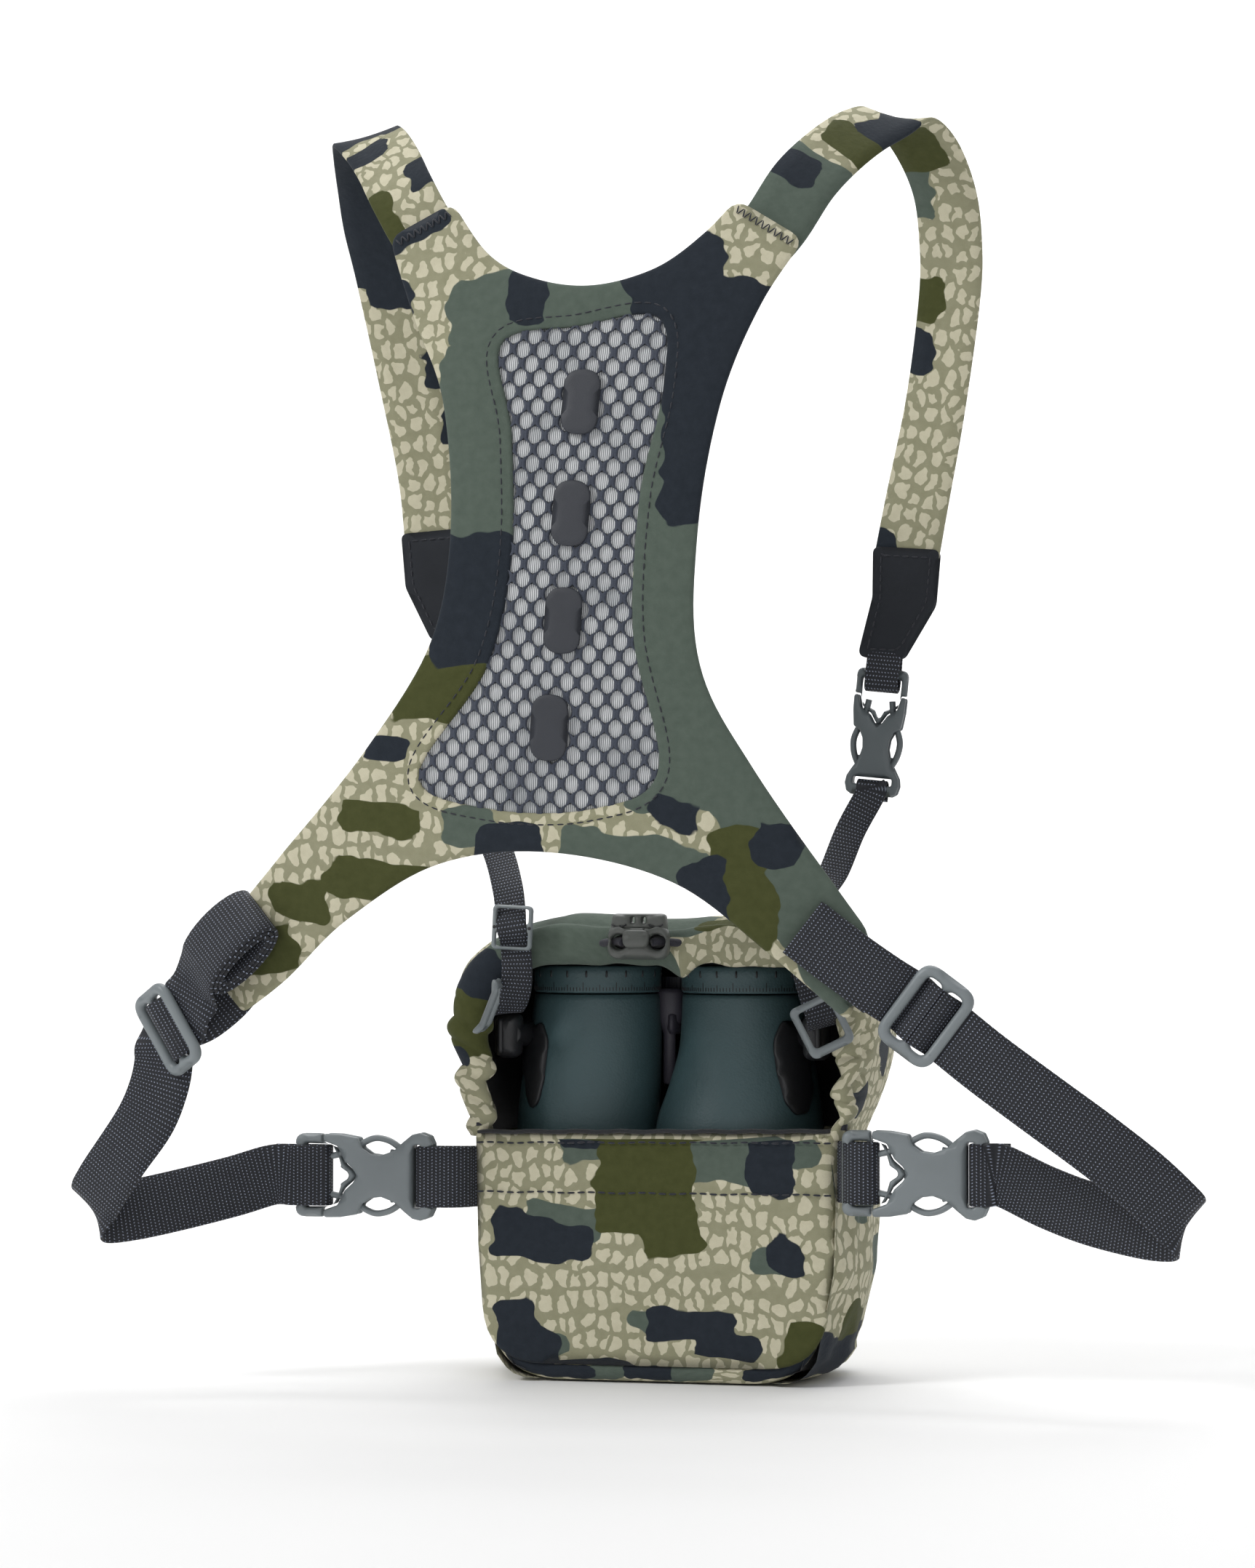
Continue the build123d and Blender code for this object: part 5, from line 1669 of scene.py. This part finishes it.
def make_tabs():
    """The stiff two-ply tabs at the shoulder straps' ends, and the web loops below them."""
    for side, x_top, z_top, x_low, z_low in (("right", 99.8, 343, 89.6, 297),
                                             ("left", -102.5, 354, -94.2, 307.5)):
        sign = 1 if side == "right" else -1
        corners = [(x_top - 13.5 * sign, z_top + 1), (x_top + 14.5 * sign, z_top - 1),
                   (x_top + 12.5 * sign, z_top - 24), (x_low + 9.5 * sign, z_low),
                   (x_low - 10 * sign, z_low + 1), (x_top - 13.8 * sign, z_top - 20)]
        outline = rounded(corners, [3, 3, 10, 3.5, 3.5, 10], 6)
        pieces = [plate("ply", outline, [], lambda u, v, w, d=depth: (u, d - w, v), 1.6, 0.7, LAMINATE, 4.0,
                        crown=0.25, crown_reach=5) for depth in (-6.95, -3.05)]
        inner = offset_loop(outline, -3.6)
        for depth, normal in ((-8.05, (0, -1, 0)), (-1.95, (0, 1, 0))):
            line = [Vector((p.x, depth, p.y)) for p in inner]
            pieces.append(stitches("row", line, lambda p, n=normal: n, length=2.6, gap=1.2, radius=0.3,
                                   closed=True))
        tab = join(pieces, side + "_tab_plies")
        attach(tab, side + "_top_plug")
        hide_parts(side + "_strap_tab")
        loop = ribbon(side + "_top_web", fold(BUCKLES[side + "_top"], TOP_LOOP, (1, 0, -.1 * sign)),
                      LOOP_WIDE, TAPE_THICK, WEBBING)
        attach(loop, side + "_top_plug")
        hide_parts(side + "_top_loop")


# ---- sliders ------------------------------------------------------------------------
TRIGLIDES = (((66.5, -54.2, 186), (0, 0, 1), (1, 0, 0)), ((-55.5, -54.8, 186), (.05, 0, 1), (1, 0, -.05)))
LUG_SLIDERS = (((73, -54, 147.5), (.42, .35, -.8), (.86, .1, .42)),
               ((-62.8, -57.0, 152.8), (-.38, .1, -.92), (-.12, .98, .02)))


def make_side_sliders():
    for name, spot in (("right_side_slider", RIGHT_SLIDER), ("left_side_slider", LEFT_SLIDER)):
        slots = [rectangle(3.6, 13.6, 2.8, 5, x) for x in (-4.9, 4.9)]
        ring = plate(name + "_ring", rectangle(13.0, 18.2, 7.5, 8), slots, slider_frame(*spot), 4.4, 1.9,
                     BUCKLE, 3.0, crown=0.3, crown_reach=2)
        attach(ring, name)
        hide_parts(name)


def make_triglides():
    pieces = []
    for spot in TRIGLIDES:
        place = slider_frame(*spot)
        slots = [rectangle(3.1, 6.7, 1.2, 4, x) for x in (-4.7, 4.7)]
        pieces.append(plate("triglide", rectangle(9.2, 8.6, 2.4, 5), slots, place, 2.8, 0.8, BUCKLE, 2.0))
        for side in (-1, 1):
            pieces.append(plate("dot", oval(0.75, 0.75, 12, 0.0, side * 7.4), [],
                                lambda u, v, w, frame=place: frame(u, v, w + 1.35), 0.5, 0.2, BLACK, 1.0))
    triglides = join(pieces, "tape_triglide_frames")
    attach(triglides, "binocular")
    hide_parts("tape_triglides")


def make_lug_sliders():
    """Rings bent round the lugs."""
    pieces = [plate("ring", rectangle(11.8, 9.8, 3.6, 6), [rectangle(8.4, 6.8, 1.8, 5)],
                    lambda u, v, w, frame=slider_frame(*spot): frame(u, v, w + 0.022 * u * u), 3.0, 1.2,
                    BUCKLE, 2.5)
              for spot in LUG_SLIDERS]
    rings = join(pieces, "lug_rings")
    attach(rings, "binocular")
    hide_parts("lug_sliders")


# ---- binocular ----------------------------------------------------------------------
LEFT_BARREL = [(8, -36, 27), (30, -36.2, 28.8), (60, -36.8, 30), (98, -36.8, 30.0), (120, -35.4, 29.5),
               (140, -33.4, 27.9), (158, -32.5, 26.6)]
RIGHT_BARREL = [(8, 30.5, 27.5), (30, 30, 30), (60, 28.8, 33.4), (88, 28.2, 34.9), (104, 28.5, 34.9),
                (120, 30.2, 31.3), (134, 31, 28.1), (146, 31, 26.9), (158, 31, 26.5)]
SIDES = 96
DIAL_BASE = 158.6
DIAL_PROFILE = [(0, 20.4), (0, 25.9), (0.5, 26.5), (3.0, 26.7), (7.0, 26.8), (7.6, 27.0), (10.4, 27.0),
                (11.2, 26.5), (11.4, 25.6), (11.4, 20.4)]
TICKS, DENTS = 120, 20
TICK_QUADS = ((0, 1, 3, 2), (4, 6, 7, 5), (0, 4, 5, 1), (2, 3, 7, 6), (1, 5, 7, 3), (0, 2, 6, 4))


def turned(name, rings, material, close_ends=True):
    """A body of rings: each is (z, x, radius), joined round."""
    verts = [(a, b, z) for z, x, r in rings for a, b in oval(r, r, SIDES, x)]
    faces = tube_faces(len(rings), SIDES, closed=not close_ends)
    return fix_normals(to_object(name, verts, faces, None, material))


def make_barrel(side, stations):
    z0, x0, r0 = stations[0]
    z1, x1, r1 = stations[-1]
    rings = [(z0 + 7, x0, 20.9), (z0 + 0.8, x0, 21.2), (z0, x0, 22.2), (z0, x0, r0 - 1.6),
             (z0 + 0.5, x0, r0 - 0.5)]
    rings += [tuple(p) for p in spline(stations, 7) if z0 + 1.5 < p.x < z1 - 0.8]
    rings += [(z1 - 0.35, x1, r1 - 0.25), (z1, x1, r1 - 0.9), (z1 + 0.1, x1, 21.0), (z1 + 0.3, x1, 20.0),
              (175.4, x1, 20.0), (176, x1, 19.4), (176, x1, 17.4), (173, x1, 17.0)]
    barrel = turned(side + "_barrel_armour", rings, ARMOUR)
    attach(barrel, "binocular")
    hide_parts(side + "_barrel")


def dial_ticks(x):
    """Plain scale ticks round a dial, longer at every fifth and tenth."""
    verts, faces = [], []
    low = DIAL_BASE + 0.9
    for k in range(TICKS):
        a = 2 * math.pi * k / TICKS
        tall = 3.6 if k % 10 == 0 else 2.6 if k % 5 == 0 else 1.5
        radial = Vector((math.cos(a), math.sin(a), 0))
        tangent = Vector((-math.sin(a), math.cos(a), 0))
        first = len(verts)
        verts += [Vector((x, 0, z)) + radial * r + tangent * t
                  for z in (low, low + tall) for t in (-0.16, 0.16) for r in (26.3, 26.83)]
        faces += [tuple(first + q for q in quad) for quad in TICK_QUADS]
    return to_object("ticks", verts, faces, None, BLACK, smooth=False)


def dial_dent_shade(x, k):
    """One short upright grip dent on a dial, drawn as a black mark: painted shade in the dent."""
    a = 2 * math.pi * k / DENTS + math.radians(3)
    radial = Vector((math.cos(a), math.sin(a), 0))
    middle = Vector((x, 0, DIAL_BASE + 8.0)) + radial * 26.75
    path = [middle + Vector((0, 0, rise)) for rise in (-1.5, -1.0, 1.0, 1.5)]
    return sweep("dent", path, circle(0.55, 8), BLACK, up=radial,
                 scale=lambda t: 1.0 if 0.2 < t < 0.8 else 0.4)


def make_dial(side, x):
    ring = turned(side + "_dial", [(DIAL_BASE + z, x, r) for z, r in DIAL_PROFILE], ARMOUR, close_ends=False)
    ring = join([ring, dial_ticks(x)] + [dial_dent_shade(x, k) for k in range(DENTS)], side + "_dial")
    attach(ring, side + "_scale_ring")
    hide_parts(side + "_scale_ring")


LEFT_LUG = [(-14, 147), (50, 146), (60, 139), (62, 122), (58, 112), (50, 110), (42, 116), (28, 125), (6, 130),
            (-14, 133)]
RIGHT_LUG = [(14, 147), (46, 147.5), (56, 139), (53, 126), (47, 114), (38, 108.5), (26, 109.5), (16, 118),
             (10, 134)]                    # (degrees round the barrel, height)
LUG_SQUEEZE = 2            # degrees for each unit across the outline


def make_lug(stations, outline, out, knob_x):
    """A lug's parts: a pad that wraps the barrel, and a knob on an arm with a ridge."""
    def wrap(u, v, w):
        x, r = between(stations, v)
        a = math.radians(u * LUG_SQUEEZE)
        reach = r + 0.6 + w
        return (x + out * reach * math.cos(a), -reach * math.sin(a), v)

    def stud(u, v, w):
        return (knob_x + u, -26.0 - w, 141.5 + v)

    pad = [(p.x / LUG_SQUEEZE, p.y) for p in rounded(outline, 9, 8)]
    knob = rounded([(-5.5, -10), (5.5, -10), (6, 9), (-6, 9)], 4.2, 8)
    arm = spline([(knob_x - 9 * out, -7, 141), (knob_x - 3.5 * out, -17, 141.3),
                  (knob_x - 0.6 * out, -29, 141.5)], 6)
    ridge = [Vector((knob_x + 1.8 * out, -33.4, 134 + 14 * k / 8)) for k in range(9)]
    return [plate("lug", pad, [], wrap, 2.0, 0.8, BLACK, 2.5),
            plate("knob", knob, [], stud, 14.0, 3.6, BLACK, 2.5, crown=1.0, crown_reach=3),
            sweep("arm", arm, circle(5.2, 18), BLACK),
            sweep("ridge", ridge, circle(1.3, 8), BLACK, up=(0, 1, 0))]


def make_bridge():
    """The hinge post between the barrels, with the arm that joins it to them."""
    post = turned("bridge_post", [(z, -2.5, r) for z, r in
                                  ((120, 1.9), (120.6, 2.6), (141, 2.6), (143.5, 3.4), (146.5, 5.6),
                                   (150, 6.2), (158, 6.4), (160, 5.6))], PURPLE_GREY)
    arm = turned("arm", [(z, -0.7, r) for z, r in ((141, 3.0), (143, 3.6), (149, 3.6), (150, 3.0))],
                 PURPLE_GREY)
    for part, stretch, shift in ((post, 0.7, 0.004), (arm, 4.0, 0.013)):
        for v in part.data.vertices:
            v.co.y = v.co.y * stretch + shift
    bridge = join([post, arm], "bridge_post")
    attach(bridge, "binocular")
    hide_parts("binocular_bridge")


def make_binocular():
    for side, stations in (("left", LEFT_BARREL), ("right", RIGHT_BARREL)):
        make_barrel(side, stations)
        make_dial(side, stations[-1][1])
    parts = make_lug(LEFT_BARREL, LEFT_LUG, -1, -64.5) + make_lug(RIGHT_BARREL, RIGHT_LUG, 1, 66.0)
    lugs = join(parts, "strap_lugs")
    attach(lugs, "binocular")
    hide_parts("binocular_lugs")
    make_bridge()


def dress_cad():
    """The CAD nodes that stay get a finish of their own."""
    finishes = {"left_eyecup": BLACK, "right_eyecup": BLACK, "ocular_lenses": GLASS,
                "objective_lenses": GLASS, "focus_wheel": RUBBER}
    for node, material in finishes.items():
        obj = bpy.data.objects[node]
        obj.data.materials.clear()
        obj.data.materials.append(material)


make_stage()
make_pouch()
make_panel()
make_hood()
make_drawcord()
make_lock_body()
make_lock_button()
make_lock_spring()
make_yoke()
make_shoulders()
make_right_side_strap()
make_yoke_ends()
make_left_side_strap()
make_roll()
make_tapes()
make_chest_tabs()
make_tabs()
make_buckle("left_side", "left_side_plug", "harness", BUCKLE)
make_buckle("right_side", "harness", "right_side_socket", BUCKLE)
make_buckle("left_top", "left_top_plug", "harness", TOP_BUCKLE_PLASTIC)
make_buckle("right_top", "right_top_plug", "harness", TOP_BUCKLE_PLASTIC)
make_side_sliders()
make_triglides()
make_lug_sliders()
make_binocular()
dress_cad()

bpy.context.view_layer.update()
